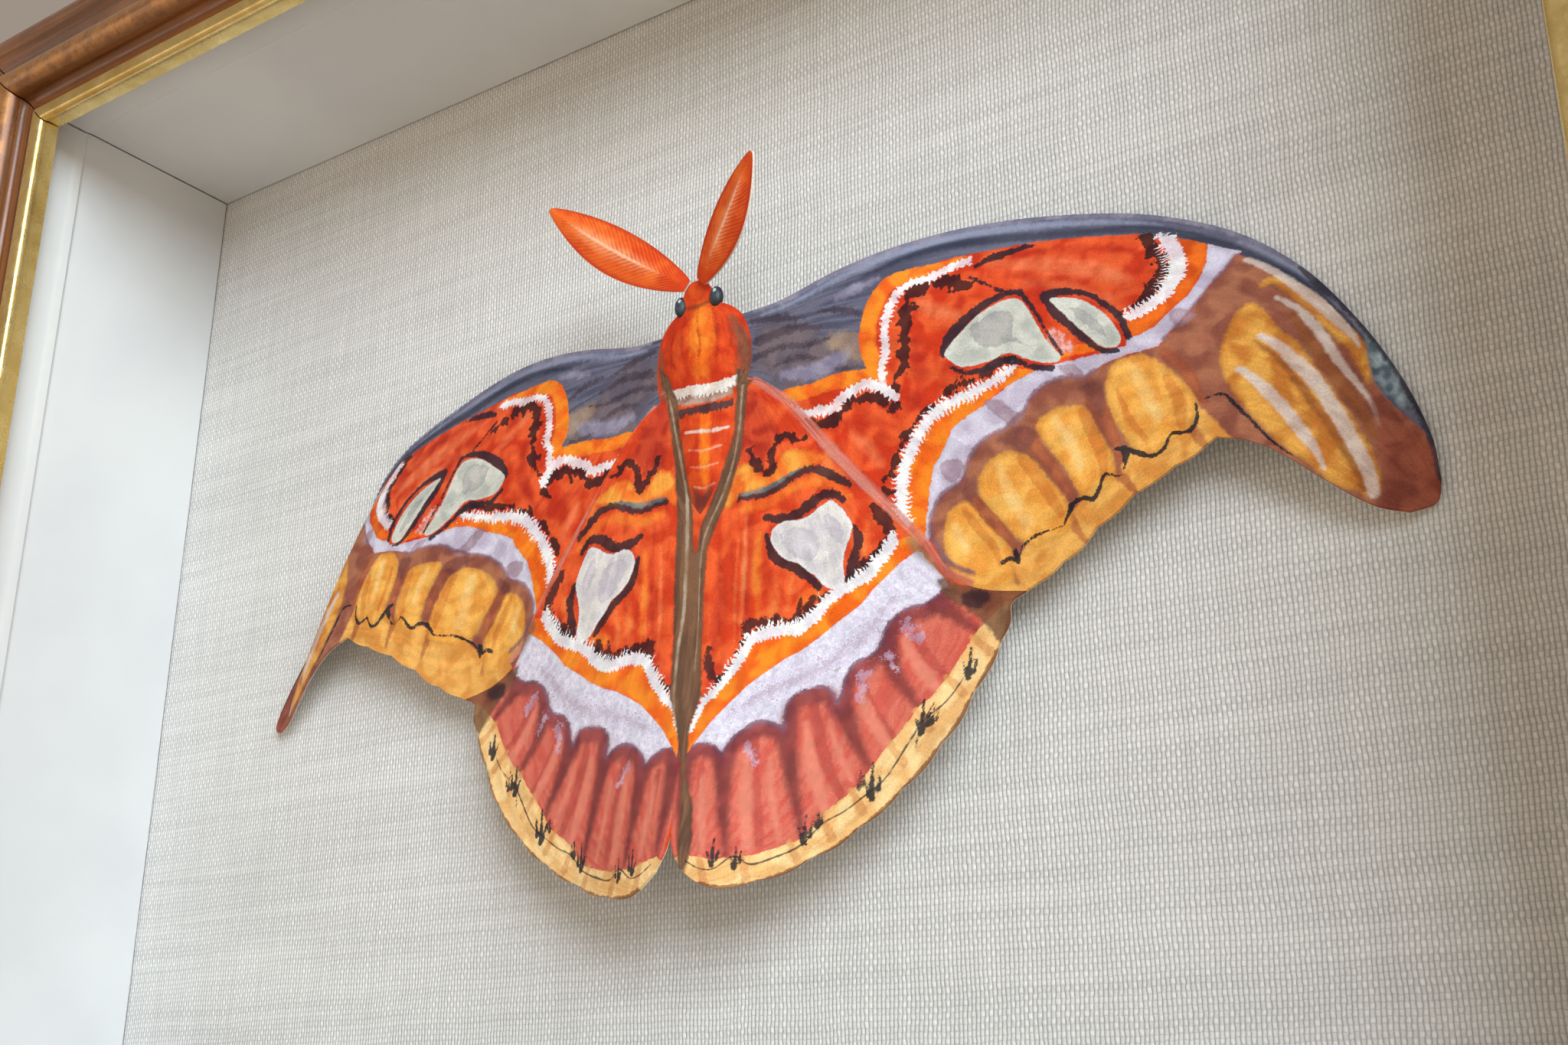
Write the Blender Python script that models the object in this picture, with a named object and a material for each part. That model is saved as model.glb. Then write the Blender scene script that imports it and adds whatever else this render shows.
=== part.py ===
# A silk moth cut from one sheet of painted paper, bent into relief and mounted
# in a glazed shadow-box frame that hangs on a wall.
# Metres, +Z up. The origin is the centre of the rear face, where the wall is.
# The moth faces -Y. Depths are measured forward from the rear face, and lifts
# forward from the linen.

import math

import bmesh
import bpy
import numpy as np

MM = 0.001
GAP = 0.3 * MM
PAPER_CUT = 0.5 * MM

# Opening between the white walls, and the frame round it
OPENING_WIDTH = 320 * MM
OPENING_HEIGHT = 246 * MM
FRAME_OUT = 26 * MM
LIP_IN = 7.4 * MM
LIP_SEAM = 3.9 * MM
RABBET = 5 * MM
MITRE_BACK = GAP / math.sqrt(2)

# Depths forward from the rear face
BACK_FRONT = 4 * MM
LINEN_FRONT = 10 * MM
GLASS_BACK = 58.9 * MM
GLASS_FRONT = 60.9 * MM
LIP_BACK = GLASS_FRONT + GAP
LIP_FRONT = 66.3 * MM

# Section of the rails: half-round bead, then a hollow, then the sloping outer face
BEAD_MIDDLE = 3.6 * MM
BEAD_DEPTH = 67.4 * MM
BEAD_RADIUS = 3.6 * MM
BEAD_SIDES = 8
HOLLOW_DEPTH = 65.6 * MM
RIDGE_DEPTH = 67 * MM
SHOULDER_DEPTH = 62 * MM
SIDE_DEPTH = 57 * MM

# Section of the gilt slip
SLIP_BEAD = 1.1 * MM
SLIP_SIDES = 6
SLIP_STEP = 0.6 * MM
SLIP_HOLLOW = 63.6 * MM

# White wall, with a shallow fillet at its front
WALL_THICK = RABBET - GAP
FILLET_BACK = 49.6 * MM
FILLET_PROUD = 0.7 * MM

# Hanger plate, let into the back of the top rail
HANGER_WIDTH = 42 * MM
HANGER_HEIGHT = 10 * MM
HANGER_THICK = 1 * MM
HANGER_TEETH = 9
TOOTH_DEPTH = 1.6 * MM
POCKET_DEPTH = 2.2 * MM
POCKET_MARGIN = 2 * MM

# Moth: paper, span and lifts of the sheet above the linen
PAPER = 0.6 * MM
HALF_SPAN = 118 * MM
BODY_LIFT = 12.2 * MM
TIP_DROP = 6 * MM
TAIL_LIFT = 7 * MM
TAIL_SPREAD = 19 * MM
HEAD_LIFT = 2.8 * MM
HEAD_SPREAD = 14 * MM
TORNUS_DIP = 4 * MM
TORNUS_AT = (54 * MM, -18 * MM)
TORNUS_SPREAD = 24 * MM
COSTA_ROLL = 7 * MM
ROLL_WIDTH = 20 * MM
LEAST_LIFT = 1 * MM
LEFT_CURL = 10.3 * MM
CURL_TOP = 40 * MM
CURL_HEIGHT = 56 * MM
CURL_WIDTH = 17 * MM
THORAX_DOME = 1.8 * MM
ABDOMEN_DOME = 1.4 * MM

# Half widths of the body at heights above the moth's centre
HEAD_WIDTHS = [(47.3, 2.1), (46.7, 2.8), (45.7, 3.0), (44.7, 2.7), (43.9, 3.0)]
THORAX_WIDTHS = [(43.3, 3.4), (41.6, 7.2), (39.4, 9.2), (35.5, 10.4), (31, 10.5), (26.6, 9.4)]
ABDOMEN_WIDTHS = [(26, 6.6), (22, 6.7), (16, 5.8), (11, 4.2), (7, 2.0), (5, 0.7)]

# Wing outlines, millimetres right of and above the moth's centre
COSTA = [(9.6, 39.9), (17, 40.6), (27, 43), (38, 45), (50, 46.2), (62, 45.8), (74, 43.6),
         (85, 39.8), (96, 33.8), (105, 25.6), (112, 15.5), (117.3, 5), (120.6, -5), (121.3, -12.2)]
DORSUM = [(10, 27.4), (13.5, 25.6), (18.1, 21.2), (26.8, 10.4), (34.7, 1), (40, -5.4), (43.4, -10.4),
          (46.2, -14.4), (52, -17.4), (59.4, -19)]
LOWER_MARGIN = [(59.4, -19), (66.8, -15.7), (73.5, -11.2), (81, -7), (87, -4.6), (92.3, -1.6)]
HOOK_MARGIN = [(92.3, -1.6), (97.4, -3.4), (102, -6.6), (107.4, -11.4), (112.5, -15.2), (117, -16.7)]
HIND_MARGIN = [(56.6, -19.9), (56.4, -23.8), (54.3, -28.4), (51.4, -33.4), (47.8, -39.4), (42.6, -45.3),
               (36.2, -50.8), (28, -55.9), (17.4, -60.3), (9.4, -61.4), (6.2, -60.6)]
WING_TIP = (120.4, -15.4)
TAIL_TIP = (4.4, -59.4)
BELOW_ABDOMEN = [(1.3, 4.7), (0.25, 3.6), (0.2, -8), (0.2, -28)]
INNER_MARGIN = [(0.2, -28), (0.2, -46), (1.2, -53.5), (3, -57.4)]
LEAST_HALF = 0.2
MARGIN_SCALLOP = 0.5 * MM
LOWER_SCALLOPS = 5
HIND_SCALLOPS = 8

# Eyes and antennae
EYE_AT = (4.75 * MM, 45.5 * MM)
EYE_SIZE = (1.5 * MM, 1.3 * MM, 2.2 * MM)
ANTENNA_ROOT = (2.5, 47.9, 15.8)
ANTENNA_TIPS = {-1: (26.6, 66.2, 25.8), 1: (19.9, 62.7, 25.8)}
ANTENNA_WIDTH = 7.4 * MM
ANTENNA_ROOT_WIDTH = 2.2 * MM
ANTENNA_BOW = 0.95 * MM
ANTENNA_FOLD = 0.8 * MM

# Foam pad that carries the moth
PAD_HALF_WIDTH = 4.4 * MM
PAD_TOP = 38 * MM
PAD_BOTTOM = 8 * MM

# Number of steps along and across each sheet
DORSUM_STEPS = (9, 7)
MARGIN_STEPS = 16
HOOK_STEPS = 9
HIND_STEPS = 30
WING_ACROSS = 9
BODY_ALONG = 9
BODY_ACROSS = 9
ANTENNA_ALONG = 13
ANTENNA_ACROSS = 5
PAD_ALONG = 13
PAD_ACROSS = 7
CURVE_DETAIL = 24


def clear_scene():
    for item in list(bpy.data.objects):
        bpy.data.objects.remove(item)


def make_material(name, colour, roughness, metallic=0.0, alpha=1.0):
    material = bpy.data.materials.new(name)
    material.use_nodes = True
    shader = material.node_tree.nodes["Principled BSDF"]
    shader.inputs["Base Color"].default_value = (*colour, 1.0)
    shader.inputs["Roughness"].default_value = roughness
    shader.inputs["Metallic"].default_value = metallic
    shader.inputs["Alpha"].default_value = alpha
    material.diffuse_color = (*colour, alpha)
    return material


def make_object(name, vertices, faces, material, smooth=False):
    mesh = bpy.data.meshes.new(name)
    mesh.from_pydata([tuple(point) for point in vertices], [], faces)
    mesh.update()
    if smooth:
        mesh.shade_smooth()
    mesh.materials.append(material)
    item = bpy.data.objects.new(name, mesh)
    bpy.context.scene.collection.objects.link(item)
    return item


def face_outwards(item):
    work = bmesh.new()
    work.from_mesh(item.data)
    bmesh.ops.recalc_face_normals(work, faces=work.faces)
    work.to_mesh(item.data)
    work.free()


def grid_faces(rows, columns):
    faces = []
    for row in range(rows - 1):
        for column in range(columns - 1):
            first = row * columns + column
            faces.append((first, first + 1, first + columns + 1, first + columns))
    return faces


def prism_faces(count):
    # Two ends of count corners each, and the sides between them.
    faces = [tuple(range(count)), tuple(reversed(range(count, 2 * count)))]
    for first in range(count):
        second = (first + 1) % count
        faces.append((first, first + count, second + count, second))
    return faces


def make_prism(name, outline, back, front, material):
    # Plate with an outline of (x, z) corners, between two depths.
    vertices = [(x, -back, z) for x, z in outline] + [(x, -front, z) for x, z in outline]
    item = make_object(name, vertices, prism_faces(len(outline)), material)
    face_outwards(item)
    return item


def rectangle(half_width, half_height, middle=0):
    return [(-half_width, middle - half_height), (half_width, middle - half_height),
            (half_width, middle + half_height), (-half_width, middle + half_height)]


# Curves through named points

def smooth_path(points, count):
    # Catmull-Rom curve through the points, read at equal steps of its length.
    points = np.array(points, dtype=float)
    padded = np.vstack([2 * points[0] - points[1], points, 2 * points[-1] - points[-2]])
    share = np.linspace(0, 1, CURVE_DETAIL, endpoint=False)[:, None]
    pieces = []
    for before, start, end, after in zip(padded, padded[1:], padded[2:], padded[3:]):
        pieces.append(0.5 * (2 * start + (end - before) * share
                             + (2 * before - 5 * start + 4 * end - after) * share ** 2
                             + (3 * start - before - 3 * end + after) * share ** 3))
    dense = np.vstack(pieces + [points[-1:]])
    lengths = np.concatenate([[0], np.cumsum(np.linalg.norm(np.diff(dense, axis=0), axis=1))])
    wanted = np.linspace(0, lengths[-1], count)
    return np.stack([np.interp(wanted, lengths, dense[:, axis]) for axis in range(points.shape[1])], axis=1)


def chain(paths):
    # Paths laid end to end, with each shared point once.
    return np.vstack([paths[0]] + [path[1:] for path in paths[1:]])


def left_normal(path):
    # Unit normals, to the left of the way that the path runs.
    along = np.gradient(path, axis=0)
    along /= np.linalg.norm(along, axis=1)[:, None]
    return np.stack([-along[:, 1], along[:, 0]], axis=1)


def scallop(path, count):
    # The path with shallow rounded bays between the vein ends.
    share = np.linspace(0, 1, len(path))
    depth = MARGIN_SCALLOP / MM * (1 - np.abs(np.sin(math.pi * count * share)))
    depth *= np.minimum(1, 8 * np.minimum(share, 1 - share))
    return path + left_normal(path) * depth[:, None]


def coons_patch(top, bottom, start, end):
    # Sheet between four edges: the mean of both rulings less the corner ruling.
    along = np.linspace(0, 1, len(top))[:, None, None]
    across = np.linspace(0, 1, len(start))[None, :, None]
    ruled_across = (1 - across) * top[:, None] + across * bottom[:, None]
    ruled_along = (1 - along) * start[None] + along * end[None]
    corners = ((1 - along) * (1 - across) * top[0] + (1 - along) * across * bottom[0]
               + along * (1 - across) * top[-1] + along * across * bottom[-1])
    return ruled_across + ruled_along - corners


def table(pairs, height):
    # Smooth half width at a height, from the few measured ones.
    curve = smooth_path([(z, width) for z, width in pairs], 200)
    order = np.argsort(curve[:, 0])
    return np.interp(height, curve[order, 0] * MM, curve[order, 1] * MM)


def ease(low, high, value):
    # Rises smoothly from 0 at low to 1 at high.
    share = np.clip((value - low) / (high - low), 0, 1)
    return share * share * (3 - 2 * share)


# Relief of the paper

def costa_distance(x, z):
    path = smooth_path(COSTA, 120) * MM
    away = np.hypot(np.abs(x)[..., None] - path[:, 0], z[..., None] - path[:, 1])
    return away.min(axis=-1)


def body_dome(x, z):
    # Low embossed domes for thorax and abdomen.
    thorax = np.clip(1 - (x / (10.6 * MM)) ** 2 - ((z - 35 * MM) / (9.5 * MM)) ** 2, 0, 1)
    width = table(ABDOMEN_WIDTHS, z)
    ends = ease(5 * MM, 14 * MM, z) * (1 - ease(22 * MM, 27 * MM, z))
    abdomen = np.clip(1 - (x / width) ** 2, 0, 1) * ends
    return THORAX_DOME * thorax ** 1.5 + ABDOMEN_DOME * abdomen


def paper_lift(x, z):
    # Height of the middle of the sheet above the linen.
    reach = np.abs(x) / HALF_SPAN
    lift = BODY_LIFT - TIP_DROP * reach ** 2
    lift = lift + TAIL_LIFT * ease(12 * MM, 64 * MM, -z) * np.exp(-(x / TAIL_SPREAD) ** 2)
    lift = lift + HEAD_LIFT * ease(30 * MM, 50 * MM, z) * np.exp(-(x / HEAD_SPREAD) ** 2)
    away = (np.abs(x) - TORNUS_AT[0]) ** 2 + (z - TORNUS_AT[1]) ** 2
    lift = lift - TORNUS_DIP * np.exp(-away / TORNUS_SPREAD ** 2)
    near = np.clip(1 - costa_distance(x, z) / ROLL_WIDTH, 0, 1)
    lift = lift - COSTA_ROLL * ease(25 * MM, 75 * MM, np.abs(x)) * near ** 1.6
    return np.maximum(lift, LEAST_LIFT)


def curl_inwards(x, z, side):
    # The left tip is rolled tighter, so its front edge comes nearer the body.
    if side > 0:
        return x
    axis_x = 86 * MM + (34 * MM - z) * 27 / 51
    bow = np.sin(math.pi * np.clip((CURL_TOP - z) / CURL_HEIGHT, 0, 1)) ** 0.7
    return x - LEFT_CURL * bow * np.clip((x - axis_x) / CURL_WIDTH, 0, 1.2)


def to_space(x, z, lift):
    return np.stack([x, -(LINEN_FRONT + lift), z], axis=-1)


def thick_sheet(name, points, material):
    rows, columns = points.shape[:2]
    item = make_object(name, points.reshape(-1, 3), grid_faces(rows, columns), material, smooth=True)
    face_outwards(item)
    thicken = item.modifiers.new("paper", "SOLIDIFY")
    thicken.thickness = PAPER
    thicken.offset = 0
    return item


def paper_sheet(name, flat, side, material, domed=False):
    # flat is a grid of places on the moth's right half, mirrored for the left.
    x, z = flat[..., 0], flat[..., 1]
    lift = paper_lift(x, z)
    if domed:
        lift = lift + body_dome(x, z)
    return thick_sheet(name, to_space(side * curl_inwards(x, z, side), z, lift), material)


# Moth pieces

def forewing_grid():
    dorsum = smooth_path(DORSUM, sum(DORSUM_STEPS) + 1)
    lower = scallop(smooth_path(LOWER_MARGIN, MARGIN_STEPS + 1), LOWER_SCALLOPS)
    hook = smooth_path(HOOK_MARGIN, HOOK_STEPS + 1)
    bottom = chain([dorsum, lower, hook])
    top = smooth_path(COSTA, len(bottom))
    heights = np.linspace(top[0, 1], bottom[0, 1], WING_ACROSS)
    beside_thorax = (table(THORAX_WIDTHS, heights * MM) + PAPER_CUT) / MM
    root = np.stack([beside_thorax, heights], axis=1)
    top[0] = root[0]
    bottom[0] = root[-1]
    tip = smooth_path([top[-1], WING_TIP, bottom[-1]], WING_ACROSS)
    return coons_patch(top, bottom, root, tip) * MM


def hindwing_grid():
    beside_steps, below_steps = DORSUM_STEPS
    under_forewing = smooth_path(DORSUM, beside_steps + below_steps + 1)
    under_forewing = under_forewing - left_normal(under_forewing) * PAPER_CUT / MM
    under_forewing[-1] = HIND_MARGIN[0]
    margin = smooth_path(HIND_MARGIN, HIND_STEPS + 1)
    margin = scallop(margin[::-1], HIND_SCALLOPS)[::-1]
    outer = chain([under_forewing, margin])
    heights = np.linspace(ABDOMEN_WIDTHS[0][0], BELOW_ABDOMEN[0][1], beside_steps + 1)
    beside = np.stack([(table(ABDOMEN_WIDTHS, heights * MM) + PAPER_CUT) / MM, heights], axis=1)
    below = smooth_path(BELOW_ABDOMEN, below_steps + 1)
    beside[-1] = below[0]
    inner = chain([beside, below, smooth_path(INNER_MARGIN, HIND_STEPS + 1)])
    inner[:, 0] = np.maximum(inner[:, 0], LEAST_HALF)
    outer[0] = (DORSUM[0][0], inner[0, 1])
    root = smooth_path([outer[0], inner[0]], WING_ACROSS)
    tail = smooth_path([outer[-1], TAIL_TIP, inner[-1]], WING_ACROSS)
    return coons_patch(outer, inner, root, tail) * MM


def body_grid(widths):
    heights = np.linspace(widths[0][0], widths[-1][0], BODY_ALONG) * MM
    share = np.linspace(-1, 1, BODY_ACROSS)
    x = table(widths, heights)[:, None] * share
    z = np.broadcast_to(heights[:, None], x.shape)
    return np.stack([x, z], axis=-1)


def make_eye(name, side, material):
    work = bmesh.new()
    bmesh.ops.create_uvsphere(work, u_segments=14, v_segments=9, radius=1)
    mesh = bpy.data.meshes.new(name)
    bmesh.ops.scale(work, verts=work.verts, vec=EYE_SIZE)
    work.to_mesh(mesh)
    work.free()
    mesh.shade_smooth()
    mesh.materials.append(material)
    item = bpy.data.objects.new(name, mesh)
    bpy.context.scene.collection.objects.link(item)
    x, z = EYE_AT
    lift = float(paper_lift(np.array([x]), np.array([z]))[0])
    item.location = (side * x, -(LINEN_FRONT + lift), z)
    return item


def make_antenna(name, side, material):
    # A leaf-shaped blade folded along its rib, bent forward towards the glass.
    ends = []
    for x, z, lift in (ANTENNA_ROOT, ANTENNA_TIPS[side]):
        ends.append(np.array((side * x * MM, -(LINEN_FRONT + lift * MM), z * MM)))
    root, tip = ends
    along = np.linspace(0, 1, ANTENNA_ALONG)
    across = np.linspace(-1, 1, ANTENNA_ACROSS)
    reach = tip - root
    widthwise = side * np.cross(reach, (0, -1, 0))
    widthwise /= np.linalg.norm(widthwise)
    outwards = side * np.cross(widthwise, reach)
    outwards /= np.linalg.norm(outwards)
    arch = np.sin(math.pi * along)[:, None]
    leaf = np.sin(math.pi * along) ** 0.8
    half = 0.5 * (ANTENNA_ROOT_WIDTH * (1 - along) + ANTENNA_WIDTH * leaf + PAPER * along)
    rib = root + reach * along[:, None] + ANTENNA_BOW * widthwise * arch
    fold = ANTENNA_FOLD * (1 - np.abs(across))[None] * leaf[:, None]
    points = (rib[:, None] + widthwise * (half[:, None] * across)[..., None]
              + outwards * fold[..., None])
    thick_sheet(name, points, material)


def make_pad(material):
    # Foam block between the linen and the back of the paper body.
    rows, columns = PAD_ALONG, PAD_ACROSS
    x, z = np.meshgrid(np.linspace(-PAD_HALF_WIDTH, PAD_HALF_WIDTH, columns),
                       np.linspace(PAD_BOTTOM, PAD_TOP, rows))
    body = table(ABDOMEN_WIDTHS, np.minimum(z, ABDOMEN_WIDTHS[0][0] * MM))
    x = x * np.minimum(1, (body - GAP) / PAD_HALF_WIDTH)
    front = paper_lift(x, z) + body_dome(x, z) - PAPER / 2 - 2 * GAP
    back = np.full_like(front, GAP)
    vertices = np.vstack([to_space(x, z, front).reshape(-1, 3), to_space(x, z, back).reshape(-1, 3)])
    count = rows * columns
    faces = grid_faces(rows, columns)
    faces += [tuple(corner + count for corner in reversed(quad)) for quad in faces]
    rim = list(range(columns))
    rim += [row * columns + columns - 1 for row in range(1, rows)]
    rim += [(rows - 1) * columns + column for column in reversed(range(columns - 1))]
    rim += [row * columns for row in reversed(range(1, rows - 1))]
    for first, second in zip(rim, rim[1:] + rim[:1]):
        faces.append((first, first + count, second + count, second))
    item = make_object("mounting_pad", vertices, faces, material)
    face_outwards(item)


# Frame pieces

def mitred_strip(name, side, profile, material, smooth=False):
    # profile holds (outward from the wall plane, depth) pairs round the section.
    outward = np.array([point[0] for point in profile])
    depth = np.array([point[1] for point in profile])
    half_width = OPENING_WIDTH / 2
    half_height = OPENING_HEIGHT / 2
    if side in ("top", "bottom"):
        sign = 1 if side == "top" else -1
        run = half_width + outward - MITRE_BACK
        rows = [np.stack([end * run, -depth, sign * (half_height + outward)], axis=1) for end in (-1, 1)]
    else:
        sign = 1 if side == "right" else -1
        run = half_height + outward - MITRE_BACK
        rows = [np.stack([sign * (half_width + outward), -depth, end * run], axis=1) for end in (-1, 1)]
    item = make_object(name, np.vstack(rows), prism_faces(len(profile)), material, smooth)
    face_outwards(item)
    if smooth:
        item.data.set_sharp_from_angle(angle=math.radians(40))
    return item


def arc_points(middle, depth, radius, start, sweep, sides):
    # Points round a bead of a section, angles in degrees.
    points = []
    for step in range(sides):
        angle = math.radians(start + step * sweep / (sides - 1))
        points.append((middle + radius * math.cos(angle), depth + radius * math.sin(angle)))
    return points


def rail_profile():
    # Deep leg behind the rabbet, copper bead, dark hollow, ridge and sloping outer face.
    return [
        (RABBET, 0),
        (FRAME_OUT, 0),
        (FRAME_OUT, SIDE_DEPTH),
        (FRAME_OUT - 1.2 * MM, SHOULDER_DEPTH),
        (FRAME_OUT - 4.5 * MM, HOLLOW_DEPTH),
        (FRAME_OUT - 9.5 * MM, RIDGE_DEPTH),
        (FRAME_OUT - 14.5 * MM, HOLLOW_DEPTH + 0.8 * MM),
        (BEAD_MIDDLE + 5 * MM, HOLLOW_DEPTH),
        *arc_points(BEAD_MIDDLE, BEAD_DEPTH, BEAD_RADIUS, -10, 200, BEAD_SIDES),
        (-1.6 * MM, HOLLOW_DEPTH - 0.2 * MM),
        (-LIP_SEAM, HOLLOW_DEPTH),
        (-LIP_SEAM, LIP_BACK),
        (RABBET, LIP_BACK),
    ]


def slip_profile():
    # Gilt sight edge: a flat hollow behind and a round bead at the front.
    return [
        (-LIP_SEAM - GAP, LIP_BACK),
        (-LIP_IN + SLIP_STEP, LIP_BACK),
        (-LIP_IN + SLIP_STEP, SLIP_HOLLOW),
        *arc_points(-LIP_IN + SLIP_BEAD, LIP_FRONT - SLIP_BEAD, SLIP_BEAD, 230, -140, SLIP_SIDES),
        (-LIP_SEAM - GAP, LIP_FRONT),
    ]


def wall_profile():
    # White board wall, whose front part stands slightly proud.
    return [
        (WALL_THICK, LINEN_FRONT + GAP),
        (0, LINEN_FRONT + GAP),
        (0, FILLET_BACK),
        (-FILLET_PROUD, FILLET_BACK + FILLET_PROUD),
        (-FILLET_PROUD, GLASS_BACK - 2 * GAP),
        (-FILLET_PROUD + GAP, GLASS_BACK - GAP),
        (WALL_THICK, GLASS_BACK - GAP),
    ]


def make_slab(name, back, front, material):
    # Flat sheet that fills the rabbet, between two depths.
    outline = rectangle(OPENING_WIDTH / 2 + WALL_THICK, OPENING_HEIGHT / 2 + WALL_THICK)
    make_prism(name, outline, back, front, material)


def hanger_height():
    # Middle of the top rail's rear face.
    return OPENING_HEIGHT / 2 + (RABBET + FRAME_OUT) / 2


def cut_hanger_pocket(rail):
    outline = rectangle(HANGER_WIDTH / 2 + POCKET_MARGIN, HANGER_HEIGHT / 2 + POCKET_MARGIN, hanger_height())
    cutter = make_prism("hanger_pocket", outline, -POCKET_DEPTH, POCKET_DEPTH, rail.data.materials[0])
    cutter.hide_render = True
    cutter.display_type = "WIRE"
    cut = rail.modifiers.new("hanger pocket", "BOOLEAN")
    cut.operation = "DIFFERENCE"
    cut.solver = "EXACT"
    cut.object = cutter


def make_hanger(material):
    # Plate with teeth along its lower edge, lying on the pocket's floor.
    half_width = HANGER_WIDTH / 2
    top = hanger_height() + HANGER_HEIGHT / 2
    bottom = hanger_height() - HANGER_HEIGHT / 2
    outline = [(half_width, top), (-half_width, top), (-half_width, bottom)]
    pitch = HANGER_WIDTH / (HANGER_TEETH + 2)
    for tooth in range(HANGER_TEETH):
        start = -half_width + pitch * (tooth + 1)
        outline.append((start, bottom))
        outline.append((start + pitch / 2, bottom + TOOTH_DEPTH))
    outline.append((half_width - pitch, bottom))
    outline.append((half_width, bottom))
    floor = POCKET_DEPTH - GAP
    make_prism("hanger", outline, floor - HANGER_THICK, floor, material)


def make_moth(materials):
    flat_forewing = forewing_grid()
    flat_hindwing = hindwing_grid()
    for side, word in ((-1, "left"), (1, "right")):
        paper_sheet("forewing_" + word, flat_forewing, side, materials["forewing"])
        paper_sheet("hindwing_" + word, flat_hindwing, side, materials["hindwing"])
        make_antenna("antenna_" + word, side, materials["antenna"])
        make_eye("eye_" + word, side, materials["eye"])
    paper_sheet("head", body_grid(HEAD_WIDTHS), 1, materials["body"], domed=True)
    paper_sheet("thorax", body_grid(THORAX_WIDTHS), 1, materials["body"], domed=True)
    paper_sheet("abdomen", body_grid(ABDOMEN_WIDTHS), 1, materials["body"], domed=True)
    make_pad(materials["foam"])


def make_frame(materials):
    for side in ("top", "bottom", "left", "right"):
        rail = mitred_strip("rail_" + side, side, rail_profile(), materials["moulding"], smooth=True)
        if side == "top":
            cut_hanger_pocket(rail)
        mitred_strip("slip_" + side, side, slip_profile(), materials["gilt"], smooth=True)
        mitred_strip("wall_" + side, side, wall_profile(), materials["white"])
    make_slab("back_board", 0, BACK_FRONT, materials["board"])
    make_slab("linen_board", BACK_FRONT + GAP, LINEN_FRONT, materials["linen"])
    make_slab("glass", GLASS_BACK, GLASS_FRONT, materials["glass"])
    make_hanger(materials["steel"])


def make_materials():
    return {
        "forewing": make_material("forewing_paint", (0.62, 0.08, 0.03), 0.75),
        "hindwing": make_material("hindwing_paint", (0.5, 0.12, 0.08), 0.75),
        "body": make_material("body_paint", (0.7, 0.12, 0.03), 0.75),
        "antenna": make_material("antenna_paint", (0.72, 0.16, 0.04), 0.7),
        "eye": make_material("eye_paint", (0.08, 0.12, 0.16), 0.4),
        "foam": make_material("foam", (0.8, 0.79, 0.76), 0.9),
        "moulding": make_material("moulding", (0.16, 0.06, 0.02), 0.3),
        "gilt": make_material("gilt", (0.6, 0.45, 0.16), 0.25, metallic=1.0),
        "white": make_material("white_board", (0.76, 0.76, 0.78), 0.7),
        "linen": make_material("linen", (0.6, 0.58, 0.54), 0.9),
        "board": make_material("back_board", (0.3, 0.2, 0.12), 0.85),
        "glass": make_material("glass", (0.95, 0.98, 0.96), 0.03, alpha=0.1),
        "steel": make_material("hanger_steel", (0.5, 0.48, 0.44), 0.35, metallic=1.0),
    }


clear_scene()
all_materials = make_materials()
make_frame(all_materials)
make_moth(all_materials)
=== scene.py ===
# A silk moth cut from one sheet of painted paper, in a glazed shadow-box frame.
# Metres, +Z up. The wall is at y = 0 and the moth faces -Y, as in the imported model.

import math

import bpy
import numpy as np
from mathutils import Matrix, Vector


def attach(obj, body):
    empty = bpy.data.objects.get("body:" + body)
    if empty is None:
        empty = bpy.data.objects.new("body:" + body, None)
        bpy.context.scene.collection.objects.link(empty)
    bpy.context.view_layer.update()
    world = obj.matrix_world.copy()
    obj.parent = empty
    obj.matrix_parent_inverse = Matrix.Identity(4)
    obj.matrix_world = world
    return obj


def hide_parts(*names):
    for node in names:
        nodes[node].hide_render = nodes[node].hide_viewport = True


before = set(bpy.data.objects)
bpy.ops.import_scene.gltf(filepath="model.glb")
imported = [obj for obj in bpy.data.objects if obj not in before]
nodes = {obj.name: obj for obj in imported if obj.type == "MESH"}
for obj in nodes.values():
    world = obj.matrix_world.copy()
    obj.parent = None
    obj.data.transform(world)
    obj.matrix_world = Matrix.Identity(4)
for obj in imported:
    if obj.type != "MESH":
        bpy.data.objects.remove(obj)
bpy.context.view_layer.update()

mm = 0.001
print("frame loaded:", len(nodes), "nodes")


# Camera

camera = {
    "place": (0.1841, -0.2581, -0.1061),
    "lens": 42.29,
    "sensor": 36.0,
    "turn": 35.23,    # degrees to the left of straight ahead
    "pitch": 20.04,   # degrees upwards
    "roll": -0.34,
}


def makeCamera(settings):
    turn, pitch, roll = (math.radians(settings[key]) for key in ("turn", "pitch", "roll"))
    forward = np.array([-math.sin(turn) * math.cos(pitch), math.cos(turn) * math.cos(pitch), math.sin(pitch)])
    level = np.array([math.cos(turn), math.sin(turn), 0.0])
    below = np.cross(forward, level)
    right = math.cos(roll) * level + math.sin(roll) * below
    down = math.cos(roll) * below - math.sin(roll) * level
    data = bpy.data.cameras.new("photoCamera")
    data.lens = settings["lens"]
    data.sensor_width = settings["sensor"]
    data.clip_start = 0.01
    item = bpy.data.objects.new("photoCamera", data)
    turned = Matrix([[right[row], -down[row], -forward[row]] for row in range(3)]).to_4x4()
    item.matrix_world = Matrix.Translation(settings["place"]) @ turned
    bpy.context.scene.collection.objects.link(item)
    bpy.context.scene.camera = item


makeCamera(camera)


# Curves and surfaces

curveDetail = 24      # steps between two points of a curve
sheetSharp = 50       # degrees past which an edge of the paper is drawn sharp


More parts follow.
